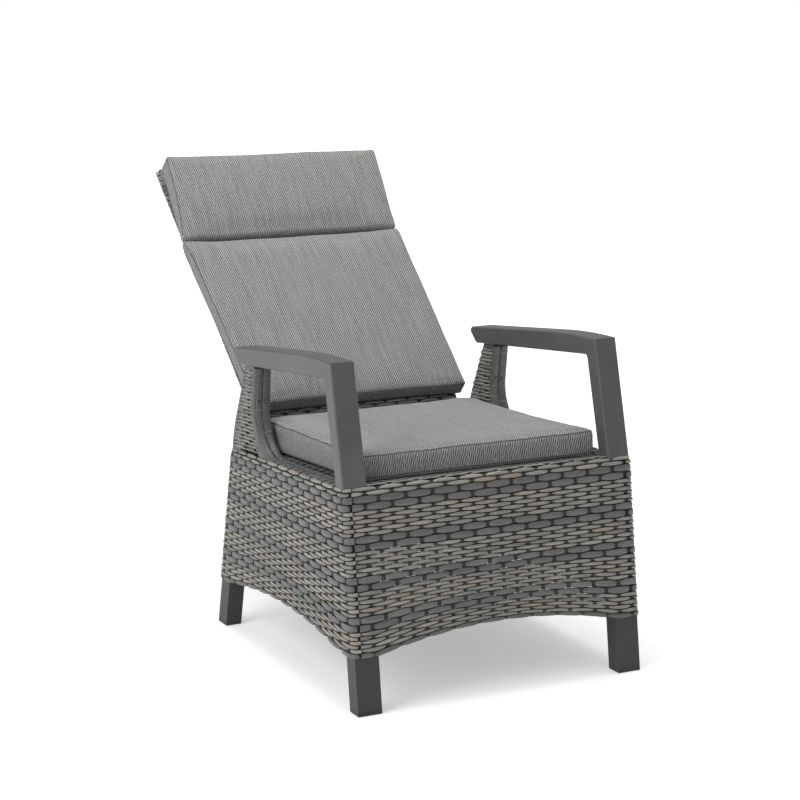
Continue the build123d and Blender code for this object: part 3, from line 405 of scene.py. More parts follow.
def finishStrands(bm, name, node, body):
    bmesh.ops.remove_doubles(bm, verts=bm.verts, dist=1e-6)
    bmesh.ops.recalc_face_normals(bm, faces=bm.faces)
    for face in bm.faces:
        face.smooth = True
    piece = newPiece(name, bm)
    piece.data.materials.append(strandFinish)
    piece.data.materials.append(stakeAndShadeFinish)
    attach(piece, body)
    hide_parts(node)
    print(name, len(piece.data.polygons), "faces")


def weaveStations(stakes, parity, low, high):
    # (u, height, spread index, stitch) along a row, between two limits
    found = []
    for i in range(len(stakes) - 1):
        over = (i + parity) % 2 == 0
        marks = [(0, 4, weave["heights"][4]) if over else (0, 0, weave["under"])]
        for n, step in enumerate(weave["steps"]):
            marks.append((1 - step if over else step, n, weave["heights"][n]))
        for share, n, height in sorted(marks):
            u = mix(stakes[i], stakes[i + 1], share)
            if low <= u <= high:
                found.append((u, height, n, i + (share > 0.5 and not over)))
    return found


def evenWidth(u, v):
    return 1


def rowStrand(bm, surface, v, pitch, isWide, stakes, low, high, parity, lift=0, squeeze=evenWidth):
    # one strand across a surface, over and under its stakes
    strand = wideStrand if isWide else narrowStrand
    half = (pitch - strand["gap"]) / 2
    base = random.random()
    tones = {}
    stretch = []
    for u, height, n, stitch in weaveStations(stakes, parity, low, high):
        drift = random.uniform(-weave["toneSpread"], weave["toneSpread"])
        tone = tones.setdefault(stitch // 2, min(max(base + drift, 0), 1))
        point, side, normal = surface(u, v)
        jitter = random.uniform(-weave["jitter"], weave["jitter"])
        width = half * strand["spread"][n] * squeeze(u, v) * mm
        stretch.append((point + normal * ((height + lift) * mm) + side * (jitter * mm), side,
                        normal, width, strand["thick"] * mm, tone))
    addStrand(bm, stretch, strand["section"], float(isWide))


def shadeBackingStrand(bm, surface, v, pitch, stakes, low, high, squeeze):
    # flat strand of the dark backing, straight behind the stakes: painted shade for the shaded inside
    # that the weave's gaps show
    stations = []
    for u in sorted(set([low, high] + [s for s in stakes if low < s < high])):
        point, side, normal = surface(u, v)
        half = pitch / 2 * weave["shadeBackingShare"] * squeeze(u, v) * mm
        stations.append((point - normal * (weave["shadeBackingDepth"] * mm), side, normal, half,
                         weave["shadeBackingThick"] * mm, 0.5))
    addStrand(bm, stations, flatStrip, 0.0, 1)


def stakeStrand(bm, surface, u, levels):
    # two thin cords side by side, run across the rows
    for offset in (-weave["stakeApart"], weave["stakeApart"]):
        stations = []
        for v in levels:
            point, side, normal = surface(u, v)
            along = normal.cross(side)
            spot = point + along * (offset * mm) + normal * (weave["stakeOut"] * mm)
            stations.append((spot, along, normal, weave["stake"] / 2 * mm,
                             weave["stake"] / 2 * mm, 0.5))
        addStrand(bm, stations, roundCord, 0.0, 1)


topRoll, firstRow = weave["topRoll"], weave["firstRow"]
rollLength = topRoll * math.pi / 2
frontDrop = chair["seatTop"] - topRoll - chair["bottomFront"]
rowPitch = {"n": narrowStrand["pitch"], "w": wideStrand["pitch"], "b": weave["borderPitch"]}
pitchScale = (frontDrop - firstRow) / sum(rowPitch[kind] for kind in weave["pattern"])
rows = []
depth = firstRow
for kind in weave["pattern"]:
    pitch = rowPitch[kind] * pitchScale
    rows.append((kind, depth + pitch / 2, pitch))
    depth += pitch


def polygonAt(v):
    # plan of the skin, right half, from the middle of the front to the middle of the rear
    share = max(v, 0) / frontDrop
    topRearZ = seatPlane(rearFace(chair["rearRim"])) - topRoll
    zFront = mix(chair["seatTop"] - topRoll, chair["bottomFront"], share)
    zRear = mix(topRearZ, chair["bottomRear"], share)
    yFront = frontFace(zFront) - chair["skinOut"]
    yRear = rearFace(zRear) + chair["skinOut"]
    points = []
    for atSide, y in ((False, yFront), (True, yFront), (True, chair["taperStart"]),
                      (True, chair["taperEnd"]), (True, yRear), (False, yRear)):
        z = mix(zFront, zRear, (y - yFront) / (yRear - yFront))
        points.append(Vector((skinSide(y, z) if atSide else 0, y, z)))
    return points


planMarks = runLengths(polygonAt(frontDrop / 2))
frontCorner, rearCorner, ringEnd = planMarks[1], planMarks[4], planMarks[5]
planCache = {}


def rawRing(u, v):
    # u runs round the skin from the front's middle, negative to the other side
    points = planCache.get(round(v, 3)) or planCache.setdefault(round(v, 3), polygonAt(v))
    point = pointAlong(points, planMarks, min(abs(u), ringEnd * 2 - abs(u)))
    return Vector((point.x if u >= 0 else -point.x, point.y, point.z))


def archLift(u):
    # how far the lower edge rises at u
    a = min(abs(u), 2 * ringEnd - abs(u))
    rise = chair["archRise"]
    if a < frontCorner:
        share = a / (frontCorner - chair["legWidth"])
    elif a > rearCorner:
        share = (ringEnd - a) / ((ringEnd - rearCorner) - chair["rearLegWidth"])
    else:
        low, high = frontCorner + chair["legDepth"], rearCorner - chair["rearLegDepth"]
        share = abs(a - (low + high) / 2) / ((high - low) / 2)
    if frontCorner <= a <= rearCorner:
        rise = chair["sideRise"]
    return rise * max(1 - share ** 2, 0)


def bandShare(v):
    return min(max((v - weave["bandStart"]) / (frontDrop - weave["bandStart"]), 0), 1)


def ringLevel(u, v):
    # the lower a row, the more of the arch it follows
    return v - archLift(u) * bandShare(v) ** weave["bandPower"]


def ringSqueeze(u, v):
    # how much narrower a row is over the arch than beside the legs
    slack = frontDrop - weave["bandStart"]
    return 1 - archLift(u) * weave["bandPower"] * bandShare(v) ** (weave["bandPower"] - 1) / slack


def ringSurface(u, v):
    if u > ringEnd:
        # past the middle of the rear it is its own mirror image
        return [Vector((-one.x, one.y, one.z)) for one in ringSurface(2 * ringEnd - u, v)]
    level = ringLevel(u, v)
    here, ahead = roundedPath(lambda along: rawRing(along, level), u, weave["corner"])
    tangent = ahead.normalized()
    down = (rawRing(u, max(level, 0) + 20) - rawRing(u, max(level, 0))).normalized()
    normal = tangent.cross(down).normalized()
    if normal.z < 0 and abs(normal.z) > 0.5:
        normal.negate()
    if normal.dot(Vector((here.x, here.y + 30, 0))) < 0:
        normal.negate()
    if level < 0:
        # rolls over the top edge and on to the deck
        turn = min(-level / topRoll, math.pi / 2)
        up = -down
        flat = max(-level - rollLength, 0)
        here = here - normal * topRoll * (1 - math.cos(turn)) + up * topRoll * math.sin(turn)
        here = here - normal * flat
        normal = (normal * math.cos(turn) + up * math.sin(turn)).normalized()
    side = normal.cross(tangent).normalized()
    return place(here.x, here.y, here.z), side, normal


# even spacing along each run of the plan, so that the corners fall between two stakes
halfStakes = []
for start, stop in ((0, frontCorner), (frontCorner, rearCorner), (rearCorner, ringEnd)):
    count = round((stop - start) / weave["spacing"])
    step = (stop - start) / count
    halfStakes += [start + (k + 0.5) * step for k in range(count)]
ringStakes = sorted([-u for u in halfStakes] + halfStakes + [2 * ringEnd - u for u in halfStakes])
skinLevels = [-rollLength - 30, -rollLength, -rollLength / 2, 0, 60, 120, 180, 230, 265, 290,
              frontDrop - 4]
rearLevels = [-rollLength, 0, 80, 160, 220, 265, frontDrop - 4]


def stakeNear(u):
    return min(ringStakes, key=lambda s: abs(s - u))


def weavePanel(bm, low, high, levels, extra=()):
    # rows and stakes between two places on the ring; extra are rows on the deck, above the first
    stakes = [u for u in ringStakes if low - weave["margin"] <= u <= high + weave["margin"]]
    first = ringStakes.index(stakes[0])
    for index, (kind, v, pitch) in enumerate(rows):
        rowStrand(bm, ringSurface, v, pitch, kind != "n", stakes, low, high, (index + first) % 2,
                  lift=weave["borderLift"] if kind == "b" else 0, squeeze=ringSqueeze)
        # each row gets a dark backing behind it, painted shade in the weave's gaps
        if v > 0:
            shadeBackingStrand(bm, ringSurface, v, pitch, stakes, low, high, ringSqueeze)
    for index, (inward, strand) in enumerate(extra):
        rowStrand(bm, ringSurface, firstRow - inward, strand["pitch"], strand is wideStrand, stakes,
                  low, high, (index + 1 + first) % 2)
    for u in stakes:
        if low <= u <= high:
            stakeStrand(bm, ringSurface, u, levels)


halfFront = stakeNear(frontCorner - weave["frontPast"])
halfRear = stakeNear(rearCorner + weave["rearPast"])

front = newStrands()
weavePanel(front, -halfFront, halfFront, skinLevels, extra=weave["deckEdge"])
finishStrands(front, "weaveFront", "wicker_front", "base")

column = {
    "y": 151, "z": 500, "lean": 7, "bend": 92, "top": 588, "inner": 261.5,
    "seatStep": 25, "bendSteps": 14, "riseStep": 12, "topGap": 8,      # points along the edge
    "behind": 3, "lip": 4, "lipDepth": 5,          # of the rows, from the edge's front
    "rearGuess": 230, "outerY": 200, "corner": 7,
}
edging = {
    # inset, pitch, lift, drop and tilt of the lengthwise strands, from the outside in
    "strands": ((4.5, 8.5, 0.4, 3.2, 0.55), (15.5, 15.5, 0.8, 1.4, 0),
                (31, 15.5, 0.8, 1.4, 0), (40.5, 6, 0.2, 3.2, -0.5)),
    "gap": 0.6, "thick": 1.3,
    "tieInsets": (15.5, 31), "tiePitch": 40, "tieShift": 20, "tieReach": 8.4,
    "tieRise": 2.4, "tieSunk": 1.6, "tieHalf": 3.1, "tieThick": 1.1,
    "tieShares": (-1, -0.85, -0.6, 0, 0.6, 0.85, 1),
}


def columnFront(z):
    # y of the column's front edge, with the long bend into the seat's edge
    return column["y"] - (z - column["z"]) * slope(column["lean"])


def edgeCurve():
    # points (y, z) of the side's top edge: along the seat, round the bend, up the column
    down = Vector((-1, slope(chair["seatSlope"]))).normalized()
    up = Vector((-slope(column["lean"]), 1)).normalized()
    z = chair["seatTop"]
    for turn in range(20):
        z = seatPlane(columnFront(z))
    corner = Vector((columnFront(z), z))
    angle = math.acos(max(-1, min(1, down.dot(up))))
    reach = column["bend"] / math.tan(angle / 2)
    start, end = corner + down * reach, corner + up * reach
    centre = corner + (down + up).normalized() * (column["bend"] / math.sin(angle / 2))
    points = [Vector((y, seatPlane(y)))
              for y in range(round(chair["taperStart"]), int(start.x), column["seatStep"])]
    for k in range(column["bendSteps"] + 1):
        arm = (start - centre).lerp(end - centre, k / column["bendSteps"]).normalized()
        points.append(centre + arm * column["bend"])
    height = end.y
    while height < column["top"] - column["topGap"]:
        points.append(Vector((columnFront(height), height)))
        height += column["riseStep"]
    points.append(Vector((columnFront(column["top"]), column["top"])))
    return points


edge = edgeCurve()


def edgeAt(i):
    # a point of the edge, the way it runs there and its normal
    ahead = (edge[min(i + 1, len(edge) - 1)] - edge[max(i - 1, 0)]).normalized()
    normal = Vector((0, -ahead.y, ahead.x))
    if normal.z < 0 and ahead.y < 0.5:
        normal.negate()
    return edge[i], Vector((0, ahead.x, ahead.y)), normal


def edgeAbove(height):
    # y where the rising part of the edge stands that far above the seat's line
    for one, two in zip(edge, edge[1:]):
        low, high = one.y - seatPlane(one.x), two.y - seatPlane(two.x)
        if low <= height <= high and two.x > 0:
            return mix(one.x, two.x, (height - low) / ((high - low) or 1e-9))
    return None


def columnPath(v):
    # the U that a row takes round the column, from its front edge at the outside to the inside
    def level(y):
        return seatPlane(y) - topRoll - v

    y = edgeAbove(-topRoll - v)
    if y is None:
        return None
    frontY, lipY = y + column["behind"], y + column["behind"] + column["lipDepth"]
    rearY = column["rearGuess"]
    for turn in range(8):
        rearY = rearFace(level(rearY)) + chair["skinOut"]
    outer, inner = skinSide(column["outerY"], level(column["outerY"])), column["inner"]
    corners = [(outer - column["lip"], frontY), (outer, lipY), (outer, rearY), (inner, rearY),
               (inner, lipY), (inner + column["lip"], frontY)]
    return [Vector((x, y, level(y))) for x, y in corners]


def columnSurface(points):
    # the surface that a row of the column lies on, and how long its path is
    marks = runLengths(points)

    def raw(u):
        return pointAlong(points, marks, min(max(u, 0), marks[-1]))

    def surface(u, v):
        here, ahead = roundedPath(raw, u, column["corner"])
        tangent = ahead.normalized()
        normal = tangent.cross(Vector((0, 0, -1))).normalized()
        side = normal.cross(tangent).normalized()
        return place(here.x, here.y, here.z), side, normal

    return surface, marks[-1]


def weaveColumn(bm):
    # rows above the seat's edge, outside to inside, over stakes that stand under those of the panel
    spacing, lip = weave["spacing"], column["lip"]
    index, v = 0, -topRoll
    while True:
        v -= narrowStrand["pitch"]
        index += 1
        points = columnPath(v)
        if points is None or points[0].z > column["top"] - 2:
            break
        surface, length = columnSurface(points)
        sideRun, rearRun = (points[2] - points[1]).length, (points[3] - points[2]).length
        start = column["lipDepth"]
        count = max(round(sideRun / spacing), 1)
        stakes = [lip - spacing]
        stakes += [start + sideRun * (k + 0.5) / count for k in range(count)]
        stakes += [start + sideRun + rearRun * 0.5]
        stakes += [start + sideRun + rearRun + sideRun * (k + 0.5) / count for k in range(count)]
        stakes += [length + spacing - lip]
        rowStrand(bm, surface, 0, narrowStrand["pitch"], False, stakes, 0, length, index % 2)


def layEdging(bm):
    # lengthwise strands on the seat's edge and up the column's front face; the narrow ones take the
    # wide strands' darker slate tints as painted shade, for the column's shaded front
    for inset, pitch, lift, drop, tilt in edging["strands"]:
        stations = []
        base = random.random()
        for i in range(len(edge)):
            point, along, normal = edgeAt(i)
            lean = (normal + Vector((tilt, 0, 0))).normalized()
            spot = place(skinSide(point.x, point.y) - inset, point.x, point.y)
            stations.append((spot + lean * ((lift - drop) * mm), along.cross(lean).normalized(), lean,
                             (pitch - edging["gap"]) / 2 * mm, edging["thick"] * mm,
                             min(max(base + 0.1 * math.sin(i), 0), 1)))
        # 1.0 gives every edging strand the darker slate tints, painted shade on the narrow ones
        addStrand(bm, stations, flatStrip, 1.0)


def tieEdging(bm):
    # single ties over the wide strands, also in the wide strands' darker slate tints as painted shade
    run = 0
    for i in range(1, len(edge)):
        step = (edge[i] - edge[i - 1]).length
        run += step
        for lane, inset in enumerate(edging["tieInsets"]):
            if (run + lane * edging["tieShift"]) % edging["tiePitch"] >= step:
                continue
            point, along, normal = edgeAt(i)
            outer = skinSide(point.x, point.y)
            tone = random.random()
            stations = []
            for share in edging["tieShares"]:
                rise = edging["tieRise"] * (1 - abs(share) ** 4) - edging["tieSunk"]
                spot = place(outer - inset + share * edging["tieReach"], point.x, point.y)
                stations.append((spot + normal * (rise * mm), along, normal,
                                 edging["tieHalf"] * mm, edging["tieThick"] * mm, tone))
            # 1.0 gives the ties the darker slate tints, painted shade
            addStrand(bm, stations, halfRound, 1.0)


for word, sign in (("Left", 1), ("Right", -1)):
    # drawn on +X, mirrored for the sitter's right
    panel = newStrands()
    weavePanel(panel, halfFront, halfRear, skinLevels)
    weaveColumn(panel)
    layEdging(panel)
    tieEdging(panel)
    if sign < 0:
        bmesh.ops.scale(panel, vec=(-1, 1, 1), verts=panel.verts)
        bmesh.ops.reverse_faces(panel, faces=panel.faces)
    finishStrands(panel, "weaveSide" + word, "wicker_side_" + word.lower(), "base")

rear = newStrands()
weavePanel(rear, halfRear, 2 * ringEnd - halfRear, rearLevels)
finishStrands(rear, "weaveRear", "wicker_rear", "base")

deck = {
    "pitch": 15.4, "half": 268, "front": 40, "rearY": 184, "under": 2.6, "lift": -1.2,
    "stakes": 20, "stakeFront": 32, "stakeUnder": 3.6, "stakeHalf": 1.6, "stakeThick": 1.3,
}


def deckSurface(u, v):
    lean = slope(chair["seatSlope"])
    return (place(u, v, seatPlane(v) - deck["under"]), Vector((0, 1, -lean)).normalized(),
            Vector((0, lean, 1)).normalized())


deckTop = newStrands()
rowY = frontTopY + deck["front"]
index = 0
deckStakes = [-deck["half"] + weave["spacing"] * k for k in range(deck["stakes"])]
while rowY < deck["rearY"]:
    rowStrand(deckTop, deckSurface, rowY, deck["pitch"], True, deckStakes, -deck["half"],
              deck["half"], index % 2, lift=deck["lift"])
    rowY += deck["pitch"]
    index += 1
for u in deckStakes[:-1]:
    stations = [(place(u, y, seatPlane(y) - deck["stakeUnder"]), Vector((1, 0, 0)),
                 Vector((0, 0, 1)), deck["stakeHalf"] * mm, deck["stakeThick"] * mm, 0.5)
                for y in (frontTopY + deck["stakeFront"], deck["rearY"])]
    addStrand(deckTop, stations, roundCord, 0.0, 1)
finishStrands(deckTop, "weaveSeat", "wicker_seat", "base")

back = {
    "low": 14, "top": 775, "halfLow": 243, "halfTop": 258, "thick": 20,
    "sunk": 1.4, "sunkDeep": 2.8,        # the weave's middle, inside the outline
    "pattern": "wwnnnnnn", "leastRow": 4, "stakes": 18,
    "sideTurn": 0.08, "corner": 0.012,   # in turns, of which the front and the rear take 1 each
    "topStrands": ((-6, 9), (2, 9), (8, 6)),       # place and width of those laid along the top
    "topSteps": 30, "topIn": 4, "topRise": (-0.4, 1.2),
}
lean = math.radians(chair["recline"])
upBack = Vector((0, math.sin(lean), math.cos(lean)))
frontBack = Vector((0, -upBack.z, upBack.y))
halfTurn = 1 + back["sideTurn"]
fullTurn = 2 * halfTurn


def onBack(x, u, w):
    # x across, u up the back from the pivot, w out of its front face
    base = Vector((x, chair["pivotY"], chair["pivotZ"])) + upBack * u + frontBack * w
    return place(base.x, base.y, base.z)


def backHalf(u):
    return mix(back["halfLow"], back["halfTop"], u / back["top"])


def backSurface(u, level):
    # u goes once round: the front, a side, the rear and the other side
    half, thick = backHalf(level) - back["sunk"], back["thick"] / 2 - back["sunkDeep"]

    def raw(t):
        t = t % fullTurn
        if t < 1:
            return Vector((mix(-half, half, t), thick, 0))
        if t < halfTurn:
            return Vector((half, mix(thick, -thick, (t - 1) / back["sideTurn"]), 0))
        if t < halfTurn + 1:
            return Vector((mix(half, -half, t - halfTurn), -thick, 0))
        return Vector((-half, mix(-thick, thick, (t - (halfTurn + 1)) / back["sideTurn"]), 0))

    here, ahead = roundedPath(raw, u % fullTurn, back["corner"])
    tangent = (Vector((1, 0, 0)) * ahead.x + frontBack * ahead.y).normalized()
    outer = tangent.cross(-upBack)
    if outer.dot(Vector((1, 0, 0)) * here.x * 0.05 + frontBack * here.y) < 0:
        outer.negate()
    return onBack(here.x, level, here.y), upBack, outer.normalized()


backRows = []
depth = back["low"]
while depth < back["top"] - back["leastRow"]:
    for kind in back["pattern"]:
        pitch = rowPitch[kind]
        if depth + pitch > back["top"] + 1:
            pitch = back["top"] - depth
            if pitch < back["leastRow"]:
                break
        backRows.append((kind, depth + pitch / 2, pitch))
        depth += pitch

backWeave = newStrands()
shares = [(k + 0.5) / back["stakes"] for k in range(back["stakes"])]
backStakes = shares + [halfTurn + s for s in shares]
aroundStakes = [backStakes[-1] - fullTurn] + backStakes + [s + fullTurn for s in backStakes[:2]]
for index, (kind, level, pitch) in enumerate(backRows):
    rowStrand(backWeave, backSurface, level, pitch, kind == "w", aroundStakes,
              backStakes[0], backStakes[0] + fullTurn, index % 2)
for u in backStakes:
    stakeStrand(backWeave, backSurface, u, [back["low"] + 4, 200, 400, 600, back["top"] - 4])
# top edge: the stakes are bound by strands laid along it
for w, pitch in back["topStrands"]:
    stations = []
    topHalf = backHalf(back["top"])
    for k in range(back["topSteps"] + 1):
        x = mix(-topHalf + back["topIn"], topHalf - back["topIn"], k / back["topSteps"])
        rise = back["topRise"][k % 2]
        stations.append((onBack(x, back["top"] + rise - 1, w), frontBack, upBack, pitch / 2 * mm,
                         narrowStrand["thick"] * mm, 0.4 + 0.3 * math.sin(k)))
    addStrand(backWeave, stations, halfRound, 1.0)
finishStrands(backWeave, "weaveBack", "wicker_back", "backrest")
print("weave done")

cushions = {
    "voxel": 5, "topEdge": 3.5, "cornerSteps": 6, "edgeSteps": 3,
    "pressure": 4, "quality": 5, "mass": 0.25, "frames": 20,
    "heldUpTo": 2,                       # above the underside, where the cover rests
    "seamRadius": 0.9, "seamReach": 9, "seamPull": 1.3, "seamIn": 1.5, "seamStep": 8,
    "foldClear": 8,                      # a seam stops this far before the fold
    "wave": 1.8, "wavePitch": 75,        # the lie of the filling under the cover
}
seatCushion = {
    "low": 0, "high": 498, "halfLow": 268, "halfHigh": 256, "height": 50, "heightHigh": 64,
    "crown": 7, "cornerLow": 6, "cornerHigh": 22, "under": 9, "drawn": 3, "tuck": 3, "cap": 5,
    "gap": 0.6, "lift": 0, "rollLow": 0, "rollHigh": 0, "tips": (0, 0), "seed": 3.1,
}
backCushion = {
    "low": 66, "high": 533, "halfLow": 258, "halfHigh": 269, "height": 38, "heightHigh": 42,
    "crown": 6, "cornerLow": 3, "cornerHigh": 3, "under": 4, "drawn": 2, "tuck": 3, "cap": 4,
    "gap": 1.4, "lift": 0, "rollLow": 0, "rollHigh": 5, "tips": (0, 0), "seed": 8.4,
    "foldDrop": 7, "foldEnds": 3, "foldReach": 80,       # sunk into the fold
    "foldUnder": 12, "foldShift": -12,                   # raised and moved aside there, as it lies
}
headCushion = {
    "low": 533, "high": 754, "halfLow": 268, "halfHigh": 266, "height": 41, "heightHigh": 43,
    "crown": 6, "cornerLow": 3, "cornerHigh": 9, "under": 4, "drawn": 1.5, "tuck": 3, "cap": 4,
    "gap": 1.4, "lift": 27, "rollLow": 5, "rollHigh": 0, "tips": (4, -5), "seed": 5.7,
    "foldDrop": 8, "foldEnds": 3, "foldReach": 150, "foldUnder": 16, "foldShift": -12,
}


def onSeat(x, u, h):
    lean = math.radians(chair["seatSlope"])
    y = chair["cushionFront"] + u * math.cos(lean) + h * math.sin(lean)
    z = seatPlane(chair["cushionFront"]) - u * math.sin(lean) + h * math.cos(lean)
    return place(x, y, z)


def onBackFace(x, u, h):
    return onBack(x, u, back["thick"] / 2 + h)


def cushionForm(name, spec):
    # the cushion lies flat while it is made: x across, y along, z up from its underside
    length = spec["high"] - spec["low"]
    bm = bmesh.new()
    bmesh.ops.create_cube(bm, size=1)
    bmesh.ops.scale(bm, vec=Vector((2 * spec["halfLow"], length, spec["height"])) * mm,
                    verts=bm.verts)
    for end, corner in ((-1, "cornerLow"), (1, "cornerHigh")):
        upright = [e for e in bm.edges if abs((e.verts[0].co - e.verts[1].co).z) > 1e-5
                   and e.verts[0].co.y * end > (length / 2 - 1) * mm]
        bmesh.ops.bevel(bm, geom=upright, offset=spec[corner] * mm, segments=cushions["cornerSteps"],
                        profile=0.5, affect="EDGES", material=-1)
    for side, offset in ((1, cushions["topEdge"]), (-1, spec["under"])):
        level = [e for e in bm.edges if abs((e.verts[0].co - e.verts[1].co).z) < 1e-6
                 and e.verts[0].co.z * side > (spec["height"] / 2 - 1) * mm]
        bmesh.ops.bevel(bm, geom=level, offset=offset * mm, segments=cushions["edgeSteps"],
                        profile=0.5, affect="EDGES", material=-1)
    piece = newPiece(name, bm)
    remesh = piece.modifiers.new("remesh", "REMESH")
    remesh.mode, remesh.voxel_size = "VOXEL", cushions["voxel"] * mm
    applyModifiers(piece)
    for vert in piece.data.vertices:
        vert.co = shapeCushion(vert.co, spec)
    return piece


def shapeCushion(co, spec):
    # crown above, sides drawn in between the corners, tapers, and an end that rolls into the fold
    length = spec["high"] - spec["low"]
    across, along = co.x / (spec["halfLow"] * mm), co.y / (length / 2 * mm)
    share = (along + 1) / 2
    up = co.z / (spec["height"] * mm) + 0.5
    crown = spec["crown"] * mm * (1 - min(across ** 2, 1)) * (1 - min(along ** 2, 1))
    x = co.x * mix(1, spec["halfHigh"] / spec["halfLow"], share)
    x -= math.copysign(spec["drawn"] * mm, x) * abs(across) ** 3 * (1 - along ** 2)
    x -= math.copysign(spec["tuck"] * mm, x) * abs(across) ** 3 * (1 - min(max(up, 0), 1)) ** 2
    y = co.y - math.copysign(spec["drawn"] * mm, co.y) * abs(along) ** 3 * (1 - across ** 2)
    y += spec["tips"][co.x > 0] * mm * abs(across) ** 3 * max(share, 0) ** 3
    z = up * mix(spec["height"], spec["heightHigh"], share) * mm + crown * up
    for roll, away in ((spec["rollLow"], share * length), (spec["rollHigh"], (1 - share) * length)):
        if roll and away < roll:
            z -= up * roll * mm * (1 - math.sqrt(max(1 - (1 - max(away, 0) / roll) ** 2, 0)))
        if roll:
            near = max(1 - max(away, 0) / spec["foldReach"], 0) ** 2
            z -= up * (spec["foldDrop"] + spec["foldEnds"] * abs(across) ** 4) * mm * near
            z += (1 - up) * spec["foldUnder"] * abs(across) ** 6 * mm * near
            x += spec["foldShift"] * mm * max(1 - max(away, 0) / (length * 0.9), 0) ** 1.5
    return Vector((x, y, z + spec["lift"] * mm * share))


def inflate(piece, spec):
    # pressure swells the cover between its seams; the underside is held where it rests
    rest = [v.co.copy() for v in piece.data.vertices]
    held = piece.vertex_groups.new(name="held")
    for v in piece.data.vertices:
        share = v.co.y / ((spec["high"] - spec["low"]) * mm) + 0.5
        under = spec["lift"] * mm * share + cushions["heldUpTo"] * mm
        held.add([v.index], 1.0 if v.co.z < under else 0.0, "REPLACE")
    cloth = piece.modifiers.new("cloth", "CLOTH")
    cloth.settings.quality = cushions["quality"]
    cloth.settings.mass = cushions["mass"]
    cloth.settings.use_pressure = True
    cloth.settings.uniform_pressure_force = cushions["pressure"]
    cloth.settings.vertex_group_mass = "held"
    cloth.settings.effector_weights.gravity = 0
    cloth.point_cache.frame_start, cloth.point_cache.frame_end = 1, cushions["frames"]
    for step in range(1, cushions["frames"] + 1):
        bpy.context.scene.frame_set(step)
    applyModifiers(piece)
    bpy.context.scene.frame_set(1)
    most = spec["cap"] * mm
    for v, was in zip(piece.data.vertices, rest):
        move = v.co - was
        if move.length > most:
            v.co = was + move * (most / move.length)
    piece.vertex_groups.clear()


def seamLine(spec, up):
    # points along a sewn edge in the flat cushion's own space, left out along the fold
    end = (spec["high"] - spec["low"]) / 2
    outline = roundedOutline(spec["halfLow"], end, spec["cornerHigh"], spec["cornerLow"],
                             cushions["cornerSteps"])
    points = [Vector((x * mm, y * mm, 0)) for x, y in outline]
    dense = []
    for one, two in zip(points, points[1:] + points[:1]):
        count = max(int((two - one).length / (cushions["seamStep"] * mm)), 1)
        dense += [one.lerp(two, k / count) for k in range(count)]
    for way, roll in ((1, "rollHigh"), (-1, "rollLow")):
        if spec[roll]:
            kept = [p.y * way < (end - cushions["foldClear"]) * mm for p in dense]
            start = next(i for i in range(len(dense)) if kept[i] and not kept[i - 1])
            turned = list(zip(dense, kept))[start:] + list(zip(dense, kept))[:start]
            dense = [p for p, isKept in turned if isKept]
    level = (0.5 - cushions["seamIn"] / spec["height"]) * (1 if up else -1) * spec["height"] * mm
    return [shapeCushion(Vector((p.x, p.y, level)), spec) for p in dense]


def seamTube(name, points, closed, body):
    # the bound edge: a thin cord sewn along the cover's edge
    curve = bpy.data.curves.new(name, "CURVE")
    curve.dimensions, curve.bevel_resolution = "3D", 1
    curve.bevel_depth, curve.use_fill_caps = cushions["seamRadius"] * mm, True
    spline = curve.splines.new("NURBS")
    spline.points.add(len(points) - 1)
    spline.use_cyclic_u, spline.use_endpoint_u = closed, not closed
    spline.order_u, spline.resolution_u = 3, 2
    for target, p in zip(spline.points, points):
        target.co = (p.x, p.y, p.z, 1)
    holder = newObject(name + "Holder", curve)
    graph = bpy.context.evaluated_depsgraph_get()
    tube = bpy.data.meshes.new_from_object(holder.evaluated_get(graph))
    bpy.data.objects.remove(holder)
    seam = newObject(name, tube)
    tube.materials.clear()
    tube.materials.append(seamFinish)
    for polygon in tube.polygons:
        polygon.use_smooth = True
    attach(seam, body)


def pullSeam(vertices, finder, seam, height):
    # the seam pulls a shallow valley along the edge
    reach = cushions["seamReach"] * mm
    pull = {}
    for p in seam:
        for co, i, distance in finder.find_range(p, reach):
            pull[i] = max(pull.get(i, 0), (1 - distance / reach) ** 2)
    for i, share in pull.items():
        co = vertices[i].co
        inward = Vector((-co.x * 0.2, -co.y * 0.2, height / 2 * mm - co.z))
        vertices[i].co += inward.normalized() * (cushions["seamPull"] * mm * share)


def layCloth(mesh):
    # the cloth's own lie, in metres: threads run across and along each panel, steeper on the sides
    cloth = mesh.uv_layers.new(name="cloth")
    for polygon in mesh.polygons:
        n = polygon.normal
        for loop in polygon.loop_indices:
            co = mesh.vertices[mesh.loops[loop].vertex_index].co
            if abs(n.z) > 0.6:
                cloth.data[loop].uv = (co.x, co.y)
            elif abs(n.x) > abs(n.y):
                cloth.data[loop].uv = (co.y, co.z * 0.4)
            else:
                cloth.data[loop].uv = (co.x, co.z * 0.4)
        polygon.use_smooth = True


def evenOut(points, closed):
    # each point drawn towards its neighbours, so that the seam runs without steps
    last = len(points) - 1
    even = []
    for i, point in enumerate(points):
        before = points[i - 1] if closed or i else point
        after = points[(i + 1) % len(points)] if closed or i < last else point
        even.append((before + point * 2 + after) / 4)
    return even


